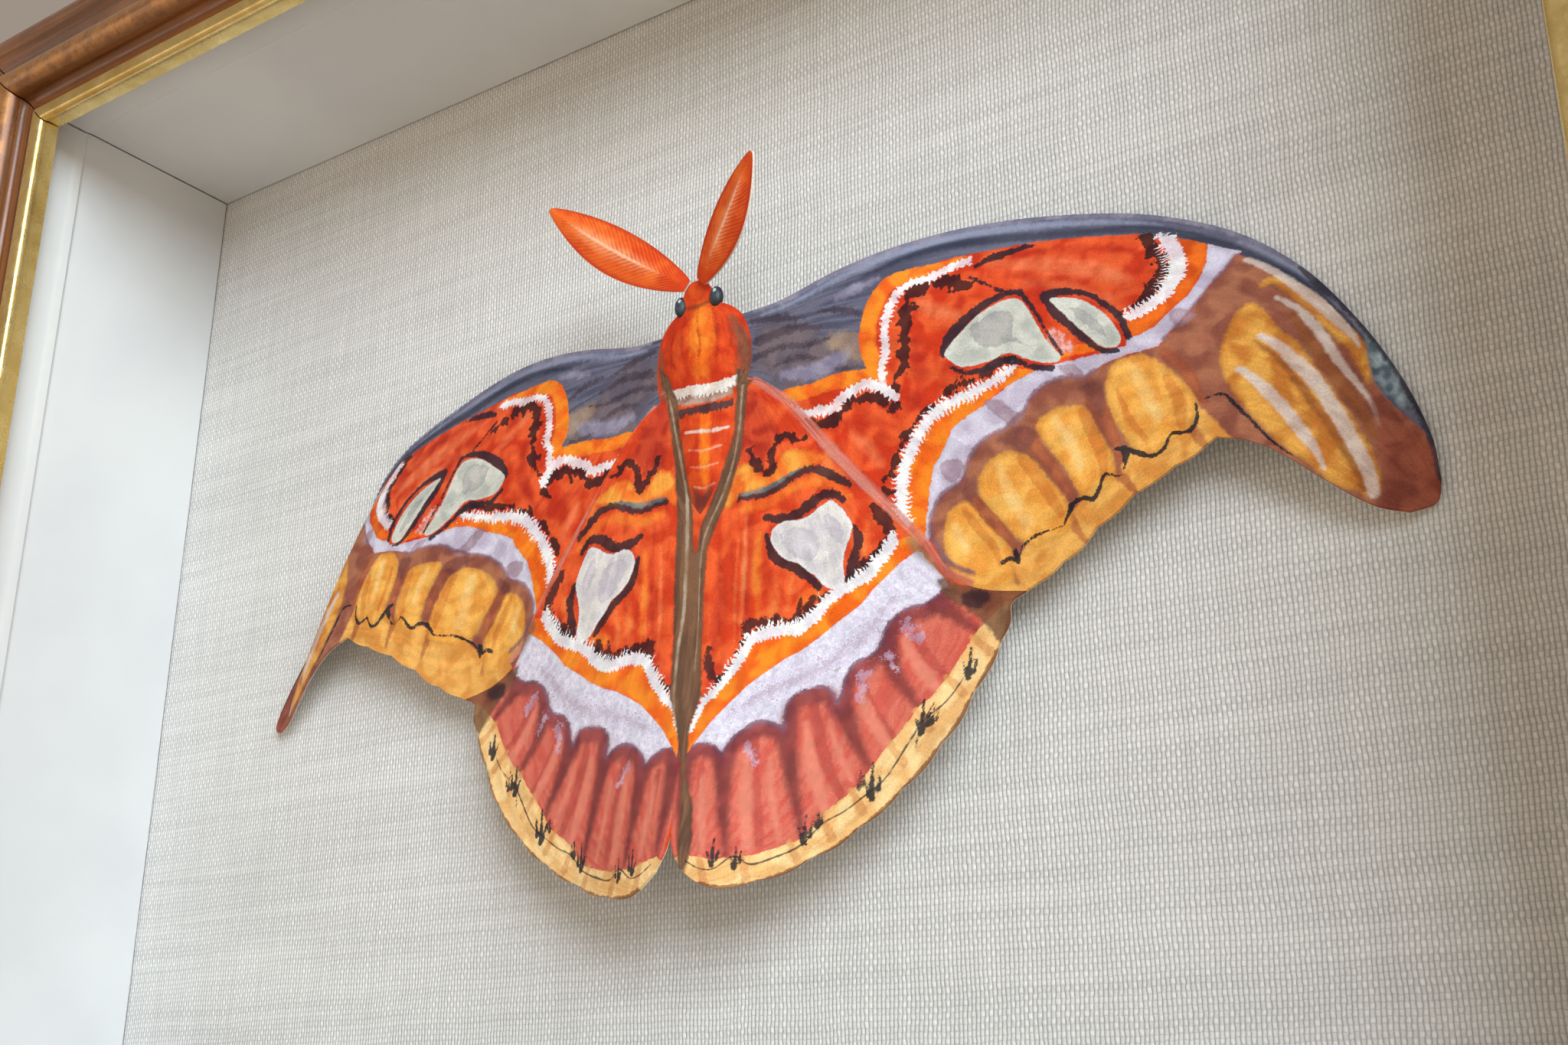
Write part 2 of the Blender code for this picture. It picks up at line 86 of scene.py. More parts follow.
def smoothPath(points, count):
    # Catmull-Rom curve through the points, read at equal steps of its length.
    points = np.array(points, dtype=float)
    padded = np.vstack([2 * points[0] - points[1], points, 2 * points[-1] - points[-2]])
    share = np.linspace(0, 1, curveDetail, endpoint=False)[None, :, None]
    before, start, end, after = (padded[first:len(padded) - 3 + first, None] for first in range(4))
    dense = 0.5 * (2 * start + (end - before) * share
                   + (2 * before - 5 * start + 4 * end - after) * share ** 2
                   + (3 * start - before - 3 * end + after) * share ** 3)
    dense = np.vstack([dense.reshape(-1, points.shape[1]), points[-1:]])
    lengths = np.concatenate([[0], np.cumsum(np.linalg.norm(np.diff(dense, axis=0), axis=1))])
    wanted = np.linspace(0, lengths[-1], count)
    return np.stack([np.interp(wanted, lengths, dense[:, axis]) for axis in range(points.shape[1])], axis=1)


def chain(paths):
    # Paths laid end to end, with each shared point once.
    return np.vstack([paths[0]] + [path[1:] for path in paths[1:]])


def leftNormals(path):
    # The path's direction turned a quarter to the left, of length one.
    along = np.gradient(path, axis=0)
    along /= np.linalg.norm(along, axis=1)[:, None]
    return np.stack([-along[:, 1], along[:, 0]], axis=1)


def coonsPatch(top, bottom, start, end):
    # Sheet between four edges: the mean of both rulings less the corner ruling.
    along = np.linspace(0, 1, len(top))[:, None, None]
    across = np.linspace(0, 1, len(start))[None, :, None]
    ruledAcross = (1 - across) * top[:, None] + across * bottom[:, None]
    ruledAlong = (1 - along) * start[None] + along * end[None]
    corners = ((1 - along) * (1 - across) * top[0] + (1 - along) * across * bottom[0]
               + along * (1 - across) * top[-1] + along * across * bottom[-1])
    return ruledAcross + ruledAlong - corners


def widthAt(pairs, heights):
    # Half width at each height, on the smooth curve through the measured ones.
    curve = smoothPath([(height, width) for height, width in pairs], 400)
    order = np.argsort(curve[:, 0])
    return np.interp(heights, curve[order, 0], curve[order, 1])


def ease(low, high, value):
    # Rises smoothly from 0 at low to 1 at high: 3 s s - 2 s s s.
    share = np.clip((value - low) / (high - low), 0, 1)
    return share * share * (3 - 2 * share)


def surfaceNormals(points):
    # Cross product of the two ways along the grid, of length one, turned towards -Y.
    normals = np.cross(np.gradient(points, axis=0), np.gradient(points, axis=1))
    size = np.linalg.norm(normals, axis=-1, keepdims=True)
    normals = np.where(size > 1e-15, normals / np.maximum(size, 1e-15), (0.0, -1.0, 0.0))
    return normals * (-1 if normals[..., 1].mean() > 0 else 1)


def gridQuads(rows, columns):
    # Corner numbers of each cell of a grid, as one array.
    first = np.arange(rows - 1)[:, None] * columns + np.arange(columns - 1)[None]
    return np.stack([first, first + 1, first + columns + 1, first + columns], axis=-1).reshape(-1, 4)


def meshFromQuads(name, vertices, quads, extraFaces=()):
    # Vertices and four-cornered faces as whole arrays, with a few larger faces after them.
    mesh = bpy.data.meshes.new(name)
    if len(extraFaces):
        mesh.from_pydata(vertices.tolist(), [], quads.tolist() + [list(face) for face in extraFaces])
    else:
        mesh.vertices.add(len(vertices))
        mesh.loops.add(quads.size)
        mesh.polygons.add(len(quads))
        mesh.vertices.foreach_set("co", vertices.astype(np.float32).ravel())
        mesh.loops.foreach_set("vertex_index", quads.astype(np.int32).ravel())
        mesh.polygons.foreach_set("loop_start", np.arange(0, quads.size, 4, dtype=np.int32))
    mesh.update(calc_edges=True)
    return mesh


def addPiece(name, mesh, material, slot, *replaced):
    mesh.materials.append(material)
    item = bpy.data.objects.new(name, mesh)
    bpy.context.scene.collection.objects.link(item)
    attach(item, "root")
    if replaced:
        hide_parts(*replaced)
    return item


def setField(mesh, name, values):
    # One number, or three, for each vertex, for a material to read by name.
    kind = "FLOAT" if values.ndim == 1 else "FLOAT_VECTOR"
    field = mesh.attributes.new(name, kind, "POINT")
    field.data.foreach_set("value" if values.ndim == 1 else "vector", values.astype(np.float32).ravel())


def closedSheet(name, points, thickness):
    # The grid moved half its thickness each way along its normals, and a rim between.
    rows, columns = points.shape[:2]
    normals = surfaceNormals(points)
    front = points + normals * thickness / 2
    back = points - normals * thickness / 2
    quads = gridQuads(rows, columns)
    count = rows * columns
    numbers = np.arange(count).reshape(rows, columns)
    rim = np.concatenate([numbers[0, :-1], numbers[:-1, -1], numbers[-1, :0:-1], numbers[:0:-1, 0]])
    after = np.roll(rim, -1)
    row, column = rows // 2, columns // 2
    corner = front[row, column]
    faced = np.cross(front[row, column + 1] - corner, front[row + 1, column] - corner)
    if np.dot(faced, normals[row, column]) < 0:
        frontQuads, backQuads = quads[:, ::-1], quads + count
        rimQuads = np.stack([rim, after, after + count, rim + count], axis=1)
    else:
        frontQuads, backQuads = quads, quads[:, ::-1] + count
        rimQuads = np.stack([rim, rim + count, after + count, after], axis=1)
    vertices = np.vstack([front.reshape(-1, 3), back.reshape(-1, 3)])
    mesh = meshFromQuads(name, vertices, np.vstack([frontQuads, backQuads, rimQuads]))
    mesh.shade_smooth()
    mesh.set_sharp_from_angle(angle=math.radians(sheetSharp))
    setField(mesh, "painted", np.repeat([1.0, 0.0], count))
    return mesh


# The sheet of paper: outlines in millimetres right of and above the moth's centre

paper = {
    "thickness": 0.6,
    "linenFront": 10.0,
    "halfSpan": 118.0,
    "bodyLift": 12.2,
    "tipDrop": 6.0,
    "tailLift": 7.0,
    "headLift": 2.8,
    "costaRoll": 7.0,
    "leftCurl": 10.3,
    "bay": 0.5,           # depth of the scallops along the margins
    "tailSpread": 19.0,
    "headSpread": 14.0,
    "dip": 4.0,           # where the wings meet
    "dipAt": (54.0, -18.0),
    "dipSpread": 24.0,
    "rollWidth": 20.0,
    "leastLift": 1.0,
    "curlAxis": (86.0, 34.0, 27.0, 51.0),     # a place on it across and up, then its lean, across per up
    "curlTop": 40.0,
    "curlHeight": 56.0,
    "curlWidth": 17.0,
    "thoraxDome": 1.8,
    "thoraxHalf": (10.6, 9.5),
    "thoraxMiddle": 35.0,
    "abdomenDome": 1.4,
}

costa = [(9.6, 39.9), (17, 40.6), (27, 43), (38, 45), (50, 46.2), (62, 45.8), (74, 43.6),
         (85, 39.8), (96, 33.8), (105, 25.6), (112, 15.5), (117.3, 5), (120.6, -5), (121.3, -12.2)]
dorsum = [(9.7, 27.4), (13.5, 25.6), (18.1, 21.2), (26.8, 10.4), (34.7, 1), (40, -5.4), (43.4, -10.4),
          (46.2, -14.4), (52, -17.4), (59.4, -19)]
lowerMargin = [(59.4, -19), (66.8, -15.7), (73.5, -11.2), (81, -7), (87, -4.6), (92.3, -1.6)]
hookMargin = [(92.3, -1.6), (97.4, -3.4), (102, -6.6), (107.4, -11.4), (112.5, -15.2), (117, -16.7)]
wingTip = (120.4, -15.4)
hindMargin = [(59.4, -19), (56.7, -20.4), (56.4, -23.8), (54.3, -28.4), (51.4, -33.4), (47.8, -39.4),
              (42.6, -45.3), (36.2, -50.8), (28, -55.9), (17.4, -60.3), (9.4, -61.4), (6.2, -60.6)]
tailTip = (4.4, -59.4)
innerMargin = [(0, -28), (0, -47), (0.5, -53.8), (2.6, -58)]
headWidths = [(48.2, 0.9), (47.6, 1.9), (46.7, 2.7), (45.7, 3.2), (44.6, 3.4), (43.9, 3.6), (43.3, 3.9)]
thoraxWidths = [(43.3, 3.9), (41.8, 7.0), (39.4, 9.2), (35.5, 10.4), (31, 10.5), (26.6, 9.4)]
abdomenWidths = [(26.6, 6.6), (22, 6.7), (16, 5.8), (11, 4.2), (7, 2.0), (5, 0.7), (4.2, 0.0)]
foldTop, foldBottom = 4.2, -28.0


def scallop(path, count):
    # The path with shallow rounded bays: their depth times one less the size of a sine.
    share = np.linspace(0, 1, len(path))
    bays = paper["bay"] * (1 - np.abs(np.sin(math.pi * count * share)))
    bays *= np.minimum(1, 8 * np.minimum(share, 1 - share))
    return path + leftNormals(path) * bays[:, None]


def costaDistance(x, z):
    # Least distance from each place to the front edge, taken at points of that edge.
    nearest = np.full(x.shape, 1e3)
    for edgeX, edgeZ in smoothPath(costa, 90):
        nearest = np.minimum(nearest, np.hypot(x - edgeX, z - edgeZ))
    return nearest


def paperLift(x, z):
    # Height above the linen: high at the body, tail and head, low at the tips,
    # dipped where the wings meet and rolled down along the front edge.
    x = np.abs(x)
    lift = paper["bodyLift"] - paper["tipDrop"] * (x / paper["halfSpan"]) ** 2
    lift = lift + paper["tailLift"] * ease(12, 64, -z) * np.exp(-(x / paper["tailSpread"]) ** 2)
    lift = lift + paper["headLift"] * ease(30, 50, z) * np.exp(-(x / paper["headSpread"]) ** 2)
    dipX, dipZ = paper["dipAt"]
    lift = lift - paper["dip"] * np.exp(-((x - dipX) ** 2 + (z - dipZ) ** 2) / paper["dipSpread"] ** 2)
    near = np.clip(1 - costaDistance(x, z) / paper["rollWidth"], 0, 1)
    lift = lift - paper["costaRoll"] * ease(25, 75, x) * near ** 1.6
    return np.maximum(lift, paper["leastLift"])


def bodyDome(x, z):
    # Embossed domes: an ellipse raised over the thorax and a ridge over the abdomen.
    halfWidth, halfHeight = paper["thoraxHalf"]
    thorax = np.clip(1 - (x / halfWidth) ** 2 - ((z - paper["thoraxMiddle"]) / halfHeight) ** 2, 0, 1)
    width = np.maximum(widthAt(abdomenWidths, z), 0.05)
    ends = ease(5, 14, z) * (1 - ease(22, 27, z))
    ridge = paper["abdomenDome"] * np.clip(1 - (x / width) ** 2, 0, 1) * ends
    return paper["thoraxDome"] * thorax ** 1.5 + ridge


def curlInwards(x, z, side):
    # On the left, places beyond a slanting axis move inwards by a sine of the height.
    if side > 0:
        return x
    across, up, leanAcross, leanUp = paper["curlAxis"]
    axis = across + (up - z) * leanAcross / leanUp
    bow = np.sin(math.pi * np.clip((paper["curlTop"] - z) / paper["curlHeight"], 0, 1)) ** 0.7
    return x - paper["leftCurl"] * bow * np.clip((x - axis) / paper["curlWidth"], 0, 1.2)


def toSpace(x, z, lift):
    return np.stack([x, -(paper["linenFront"] + lift), z], axis=-1) * mm


def forewingPlaces(along, across):
    # Sheet between the front edge, the hind and outer edges, the thorax and the tip.
    shares = np.array([0.44, 0.36, 0.20])
    counts = np.round(shares * (along - 1)).astype(int)
    counts[0] = along - 1 - counts[1:].sum()
    bottom = chain([smoothPath(dorsum, counts[0] + 1), scallop(smoothPath(lowerMargin, counts[1] + 1), 5),
                    smoothPath(hookMargin, counts[2] + 1)])
    top = smoothPath(costa, along)
    heights = np.linspace(costa[0][1], dorsum[0][1], across)
    root = np.stack([widthAt(thoraxWidths, heights), heights], axis=1)
    top[0], bottom[0] = root[0], root[-1]
    tip = smoothPath([top[-1], wingTip, bottom[-1]], across)
    return coonsPatch(top, bottom, root, tip)


def hindwingPlaces(along, across):
    # Sheet between the forewing and outer margin, the body and inner margin, root and tail.
    # The first 0.29 of the steps run beside the abdomen and the next 0.22 down the fold.
    beside, below = round(0.29 * (along - 1)), round(0.22 * (along - 1))
    rest = along - 1 - beside - below
    outer = chain([smoothPath(dorsum, beside + below + 1),
                   scallop(smoothPath(hindMargin, rest + 1)[::-1], 8)[::-1]])
    heights = np.linspace(abdomenWidths[0][0], foldTop, beside + 1)
    body = np.stack([widthAt(abdomenWidths, heights), heights], axis=1)
    body[-1] = (0, foldTop)
    fold = np.stack([np.zeros(below + 1), np.linspace(foldTop, foldBottom, below + 1)], axis=1)
    inner = chain([body, fold, smoothPath(innerMargin, rest + 1)])
    inner[:, 0] = np.maximum(inner[:, 0], 0)
    thoraxEnd = (thoraxWidths[-1][1], thoraxWidths[-1][0])
    outer[0] = (float(widthAt(thoraxWidths, dorsum[0][1])), dorsum[0][1])
    legs = chain([np.linspace(outer[0], thoraxEnd, round(0.2 * across)),
                  np.linspace(thoraxEnd, inner[0], across - round(0.2 * across) + 1)])
    tail = smoothPath([outer[-1], tailTip, inner[-1]], across)
    return coonsPatch(outer, inner, legs, tail)


bodyEnd = 0.1         # how far short of its point a body stops


def bodyPlaces(widths, along, across):
    # Each row runs from one half width to the other at its height. A body that ends in a point
    # stops just short of it, since a row without width would close with empty faces.
    short = bodyEnd if widths[-1][1] == 0 else 0.0
    heights = np.linspace(widths[0][0], widths[-1][0] + short, along)
    x = widthAt(widths, heights)[:, None] * np.linspace(-1, 1, across)
    return np.stack([x, np.broadcast_to(heights[:, None], x.shape)], axis=-1)


def paperPiece(name, places, side, paint, slot, fields, domed=False):
    # The flat places lifted into relief, given the paper's thickness and its paint fields.
    x, z = places[..., 0], places[..., 1]
    lift = paperLift(x, z) + (bodyDome(x, z) if domed else 0)
    points = toSpace(side * curlInwards(x, z, side), z, lift)
    mesh = closedSheet(name, points, paper["thickness"] * mm)
    flat = np.stack([side * x, z, np.full_like(x, side)], axis=-1).reshape(-1, 3)
    setField(mesh, "flat", np.vstack([flat, flat]))
    across, along = np.meshgrid(np.linspace(0, 40, x.shape[1]), np.linspace(0, 110, x.shape[0]))
    vein = np.stack([across + 60 * (side < 0), along, 0 * along], axis=-1).reshape(-1, 3)
    setField(mesh, "vein", np.vstack([vein, vein]))
    # Three paint fields to an attribute, in the order of the layers that read them.
    stack = [np.tile(fields[field].ravel(), 2) for field in fieldOrder(paint["layers"])]
    stack += [0 * stack[0]] * (-len(stack) % 3)
    for first in range(0, len(stack), 3):
        setField(mesh, "paint%d" % (first // 3), np.stack(stack[first:first + 3], axis=-1))
    return addPiece(name + "_paper", mesh, paint["material"], slot, name)


# Paint fields: distances in millimetres on the flat sheet, below 0 inside a mark

fieldReach = 9.0      # no field is worked out further than this from its curve
moveReach, moveHold = 8.0, 0.12


def nearCurve(places, curve):
    # Least distance to the curve, the length along it at that point, and the side: left is 1.
    spots = places.reshape(-1, 2)
    low, high = curve.min(axis=0) - fieldReach, curve.max(axis=0) + fieldReach
    close = np.flatnonzero(((spots > low) & (spots < high)).all(axis=1))
    distance = np.full(len(spots), fieldReach)
    along = np.zeros(len(spots))
    side = np.ones(len(spots))
    steps = np.diff(curve, axis=0)
    begun = np.concatenate([[0], np.cumsum(np.hypot(steps[:, 0], steps[:, 1]))])
    best, where, turned = distance[close], along[close], side[close]
    for start, step, length in zip(curve, steps, begun):
        size = step @ step
        away = spots[close] - start
        share = np.clip(away @ step / size, 0, 1)
        away = away - share[:, None] * step
        gap = np.hypot(away[:, 0], away[:, 1])
        nearer = gap < best
        best = np.where(nearer, gap, best)
        where = np.where(nearer, length + share * math.sqrt(size), where)
        turned = np.where(nearer, np.sign(step[0] * away[:, 1] - step[1] * away[:, 0]), turned)
    distance[close], along[close], side[close] = best, where, turned
    return [found.reshape(places.shape[:-1]) for found in (distance, along, side)]


def insideOutline(places, outline):
    # A place is inside where a line from it to the right crosses the outline an odd number of times.
    x, z = places[..., 0], places[..., 1]
    inside = np.zeros(x.shape, bool)
    for (startX, startZ), (endX, endZ) in zip(outline, np.roll(outline, -1, axis=0)):
        spans = (startZ > z) != (endZ > z)
        rise = endZ - startZ if endZ != startZ else 1e-9
        inside ^= spans & (x < startX + (z - startZ) * (endX - startX) / rise)
    return inside


def band(points, half, teeth=0.0, pitch=1.5, leftTeeth=1.0, rightTeeth=0.0):
    # Band along a curve. half is one half width, or several at equal steps of its length.
    return {"kind": "band", "points": points, "half": half, "teeth": teeth, "pitch": pitch,
            "leftTeeth": leftTeeth, "rightTeeth": rightTeeth}


def patch(points, rounded=True):
    return {"kind": "patch", "points": points, "rounded": rounded}


def bandField(places, mark):
    # Distance to the curve less the half width there, and less the teeth on each side, whose
    # pitch and length sway by sines so that no two are alike.
    count = max(12, 6 * len(mark["points"]))
    curve = smoothPath(mark["points"], count)
    distance, along, side = nearCurve(places, curve)
    length = np.hypot(*np.diff(curve, axis=0).T).sum()
    halves = np.atleast_1d(mark["half"])
    half = np.interp(along / length, np.linspace(0, 1, len(halves)), halves)
    if mark["teeth"]:
        wave = along / mark["pitch"] + 0.35 * np.sin(along * 1.7) + 0.2 * np.sin(along * 4.1)
        tooth = 1 - np.abs(2 * (wave % 1) - 1)
        size = mark["teeth"] * (0.65 + 0.35 * np.sin(along * 2.3 + 1))
        half = half + size * tooth * np.where(side > 0, mark["leftTeeth"], mark["rightTeeth"])
    return distance - half, (along + 5) * side


def patchField(places, mark):
    # Distance to the closed outline, counted below 0 inside.
    outline = np.array(mark["points"], dtype=float)
    closed = np.vstack([outline, outline[:1]])
    if mark["rounded"]:
        closed = smoothPath(np.vstack([outline[-1:], closed, outline[1:2]]), 7 * len(closed))
        first = np.argmin(np.hypot(*(closed[:len(closed) // 3] - outline[0]).T))
        last = len(closed) // 2 + np.argmin(np.hypot(*(closed[len(closed) // 2:] - outline[0]).T))
        closed = closed[first:last + 1]
    distance = nearCurve(places, closed)[0]
    return np.where(insideOutline(places, closed[:-1]), -distance, distance), 0 * distance


def moved(places, pairs):
    # Left wing: each place moved by a mean of the pairs' offsets, weighted by a bell curve of its
    # distance, with a little weight that holds it back.
    offset, weight = np.zeros_like(places), np.full(places.shape[:-1], moveHold)
    for x, z, fromX, fromZ in pairs:
        near = np.exp(-((places[..., 0] - x) ** 2 + (places[..., 1] - z) ** 2) / moveReach ** 2)
        offset += near[..., None] * (fromX - x, fromZ - z)
        weight += near
    return places + offset / weight[..., None]


def paintFields(places, marks):
    # For each named paint the least of its marks' fields, and that mark's length along, for its comb.
    fields = {}
    for name, shapes in marks.items():
        parts = [bandField(places, mark) if mark["kind"] == "band" else patchField(places, mark)
                 for mark in shapes]
        distances, lengths = (np.stack(found) for found in zip(*parts))
        nearest = distances.argmin(axis=0)[None]
        fields[name] = np.take_along_axis(distances, nearest, 0)[0]
        fields[name + "Comb"] = np.take_along_axis(lengths, nearest, 0)[0]
    return fields


def fieldOrder(layers):
    names = []
    for spec in layers:
        names += [spec["field"], spec["field"] + "Comb"] if spec["comb"] else [spec["field"]]
    return names


# Feelers and eyes

feeler = {
    "root": (1.6, 47.4, 15.8),        # right of centre, height and lift from the linen
    "tips": {-1: (26.6, 66.2, 25.8), 1: (19.9, 62.7, 25.8)},
    "width": 7.4,
    "rootWidth": 2.2,
    "bow": 0.95,
    "fold": 0.8,
    "along": 150,
    "across": 48,
}
eye = {"place": (3.95, 44.3), "size": (1.3, 1.2, 2.0), "rings": 32, "around": 48, "pole": 0.03}


def feelerPoints(side, along, across):
    # Leaf blade: half width a power of a sine, folded along its rib and bowed by a sine.
    root, tip = (np.array([side * x, -(paper["linenFront"] + lift), z]) * mm
                 for x, z, lift in (feeler["root"], feeler["tips"][side]))
    share = np.linspace(0, 1, along)
    over = np.linspace(-1, 1, across)
    reach = tip - root
    widthwise = side * np.cross(reach, (0, -1, 0))
    widthwise /= np.linalg.norm(widthwise)
    outwards = side * np.cross(widthwise, reach)
    outwards /= np.linalg.norm(outwards)
    leaf = np.sin(math.pi * share) ** 0.8
    half = 0.5 * (feeler["rootWidth"] * (1 - share) + feeler["width"] * leaf + paper["thickness"] * share)
    rib = root + reach * share[:, None] + feeler["bow"] * mm * widthwise * np.sin(math.pi * share)[:, None]
    fold = feeler["fold"] * (1 - np.abs(over))[None] ** 1.3 * leaf[:, None]
    return (rib[:, None] + widthwise * (half[:, None] * over)[..., None] * mm
            + outwards * fold[..., None] * mm)


def makeFeeler(name, side, material):
    along, across = feeler["along"], feeler["across"]
    mesh = closedSheet(name, feelerPoints(side, along, across), paper["thickness"] * mm)
    share, over = np.meshgrid(np.linspace(0, 1, along), np.linspace(-1, 1, across), indexing="ij")
    blade = np.stack([share, over, np.full_like(share, side)], axis=-1).reshape(-1, 3)
    setField(mesh, "blade", np.vstack([blade, blade]))
    addPiece(name + "_blade", mesh, material, "antenna_paint", name)


def closedTube(name, rings, sharpAngle=40):
    # Rings of points joined one to the next, each end closed by a face.
    rows, columns = rings.shape[:2]
    first = np.arange(rows - 1)[:, None] * columns + np.arange(columns)[None]
    after = np.arange(rows - 1)[:, None] * columns + np.roll(np.arange(columns), -1)[None]
    quads = np.stack([first, after, after + columns, first + columns], axis=-1).reshape(-1, 4)
    lastRing = np.arange((rows - 1) * columns, rows * columns)
    caps = [np.arange(columns)[::-1].tolist(), lastRing.tolist()]
    mesh = meshFromQuads(name, rings.reshape(-1, 3), quads, caps)
    ring = rings[rows // 2]
    area = (np.cross(ring - ring.mean(axis=0), np.roll(ring, -1, axis=0) - ring.mean(axis=0))).sum(axis=0)
    if np.dot(area, rings[-1].mean(axis=0) - rings[0].mean(axis=0)) < 0:
        mesh.flip_normals()
    mesh.shade_smooth()
    mesh.set_sharp_from_angle(angle=math.radians(sharpAngle))
    return mesh


def makeEye(name, side, material):
    # Ellipsoid worked out from two angles, with a small face closing each pole.
    x, z = eye["place"]
    lift = float(paperLift(np.array([x]), np.array([z]))[0])
    down, turn = np.meshgrid(np.linspace(eye["pole"], math.pi - eye["pole"], eye["rings"]),
                             np.linspace(0, 2 * math.pi, eye["around"], endpoint=False), indexing="ij")
    shape = np.stack([np.sin(down) * np.cos(turn), np.sin(down) * np.sin(turn), np.cos(down)], axis=-1)
    middle = np.array([side * x, -(paper["linenFront"] + lift), z])
    mesh = closedTube(name, (middle + shape * eye["size"]) * mm, sharpAngle=60)
    setField(mesh, "ball", shape.reshape(-1, 3))
    addPiece(name + "_bead", mesh, material, "eye_paint", name)


# Frame: every side is a section carried along it, cut at 45 degrees at both ends

frameShape = {
    "width": 320.0,      # opening between the white walls
    "height": 246.0,
    "mitreBack": 0.21,   # how far each mitred end stands back, so that two sides never overlap
    "steps": 90,
    "straight": 0.5,     # share of a side whose steps lie square to it, before they fan out
}
hangerPocket = {
    "halfWidth": 23.0,
    "low": 8.5,          # out from the opening
    "high": 22.5,
    "depth": 2.2,
    "draft": 0.1,        # how far its walls lean
}


def arc(middle, depth, radius, start, sweep, count):
    # Points round a circle of a section, angles in degrees.
    angles = np.radians(np.linspace(start, start + sweep, count))
    return np.stack([middle + radius * np.cos(angles), depth + radius * np.sin(angles)], axis=1)


def section(*parts):
    return np.vstack([np.atleast_2d(np.array(part, dtype=float)) for part in parts])


pocketLow, pocketHigh, pocketDraft = (hangerPocket[key] for key in ("low", "high", "draft"))
railSection = section(
    [(5, 0), (pocketLow, 0), (pocketLow + pocketDraft, 0), (pocketHigh - pocketDraft, 0), (pocketHigh, 0),
     (25.2, 0), (26, 0.8), (26, 56)],
    smoothPath([(26, 57), (25.6, 60.2), (24.6, 62.6), (21.8, 65.4), (19.5, 66.6), (16.5, 67), (13.6, 66.7)],
               22),
    [(12.9, 66.3)],
    smoothPath([(12.3, 66.2), (10.6, 65.5), (8.8, 65.3), (7.5, 65.6)], 10),
    arc(3.6, 67.4, 3.6, -14, 204, 26),
    smoothPath([(-0.3, 66.2), (-1.4, 65.5), (-3.9, 65.6)], 7),
    [(-3.9, 61.2), (5, 61.2)])
slipSection = section(
    [(-4.2, 61.2), (-6.8, 61.2), (-6.8, 63.6)],
    arc(-6.3, 65.2, 1.1, 226, -136, 16),
    [(-4.2, 66.3)])
wallSection = section(
    [(4.7, 10.3), (0.1, 10.3), (0, 10.4), (0, 49.2)],
    smoothPath([(0, 49.6), (-0.25, 50.0), (-0.7, 50.5)], 6),
    [(-0.7, 58.2), (-0.4, 58.6), (4.7, 58.6)])


def stripRings(side, shape):
    # The section at steps along a side: share times the half length, plus the way out to the mitre
    # times a fan that is 0 over the straight middle and rises evenly to 1 at the ends.
    outward, depth = shape[:, 0], shape[:, 1]
    halfWidth, halfHeight = frameShape["width"] / 2, frameShape["height"] / 2
    flat = side in ("top", "bottom")
    half, apart = (halfWidth, halfHeight) if flat else (halfHeight, halfWidth)
    ends = np.array([hangerPocket["halfWidth"], hangerPocket["halfWidth"] - pocketDraft]) / half
    share = np.sort(np.concatenate([np.linspace(-1, 1, frameShape["steps"]), ends, -ends]))[:, None]
    straight = frameShape["straight"]
    fan = np.clip((np.abs(share) - straight) / (1 - straight), 0, 1) * np.sign(share)
    along = share * half + fan * (outward - frameShape["mitreBack"])[None]
    place = np.broadcast_to((apart + outward) * (1 if side in ("top", "right") else -1), along.shape)
    parts = [along, np.broadcast_to(-depth, along.shape), place]
    return np.stack(parts if flat else parts[::-1], axis=-1) * mm


def pressPocket(rings):
    # The rear face's points inside the hanger's pocket go in by its depth.
    along, out = np.abs(rings[..., 0]), rings[..., 2] - frameShape["height"] / 2 * mm
    edge = pocketDraft * 0.5
    inside = (along < (hangerPocket["halfWidth"] - edge) * mm) & (rings[..., 1] > -0.01 * mm)
    inside &= (out > (pocketLow + edge) * mm) & (out < (pocketHigh - edge) * mm)
    pressed = rings.copy()
    pressed[..., 1] -= inside * hangerPocket["depth"] * mm
    return pressed


def makeStrip(name, side, shape, material, slot, replaced):
    # run holds the place along the side, the place round the section and how deep the hollow is.
    rings = stripRings(side, shape)
    mesh = closedTube(name, pressPocket(rings) if replaced == "rail_top" else rings)
    along = rings[..., 0] if side in ("top", "bottom") else rings[..., 2]
    steps = np.hypot(*np.diff(shape, axis=0).T)
    around = np.broadcast_to(np.concatenate([[0], np.cumsum(steps)]) * mm, along.shape)
    hollow = np.broadcast_to(ease(3.4, 0.0, np.abs(shape[:, 0] - 9.2)) * (shape[:, 1] > 60), along.shape)
    setField(mesh, "run", np.stack([along, around, hollow], axis=-1).reshape(-1, 3))
    return addPiece(name, mesh, material, slot, replaced)


# Short ways to write a material's nodes

def tint(red, green, blue):
    # A colour given as on a screen, 0 to 255, as the linear one that a shader takes.
    share = np.array([red, green, blue]) / 255
    return (*np.where(share <= 0.04045, share / 12.92, ((share + 0.055) / 1.055) ** 2.4).tolist(), 1.0)


def newMaterial(name, roughness, **sockets):
    material = bpy.data.materials.new(name)
    material.use_nodes = True
    shader = material.node_tree.nodes["Principled BSDF"]
    shader.inputs["Roughness"].default_value = roughness
    for socket, value in sockets.items():
        shader.inputs[socket.replace("_", " ")].default_value = value
    return material


def addNode(material, kind, inputs, **settings):
    # inputs holds a value or another node's output for each socket, by name or number.
    node = material.node_tree.nodes.new(kind)
    for key, value in settings.items():
        setattr(node, key, value)
    for key, value in inputs.items():
        if isinstance(value, bpy.types.NodeSocket):
            material.node_tree.links.new(value, node.inputs[key])
        else:
            node.inputs[key].default_value = value
    return node


def plug(material, socket, value):
    material.node_tree.links.new(value, material.node_tree.nodes["Principled BSDF"].inputs[socket])


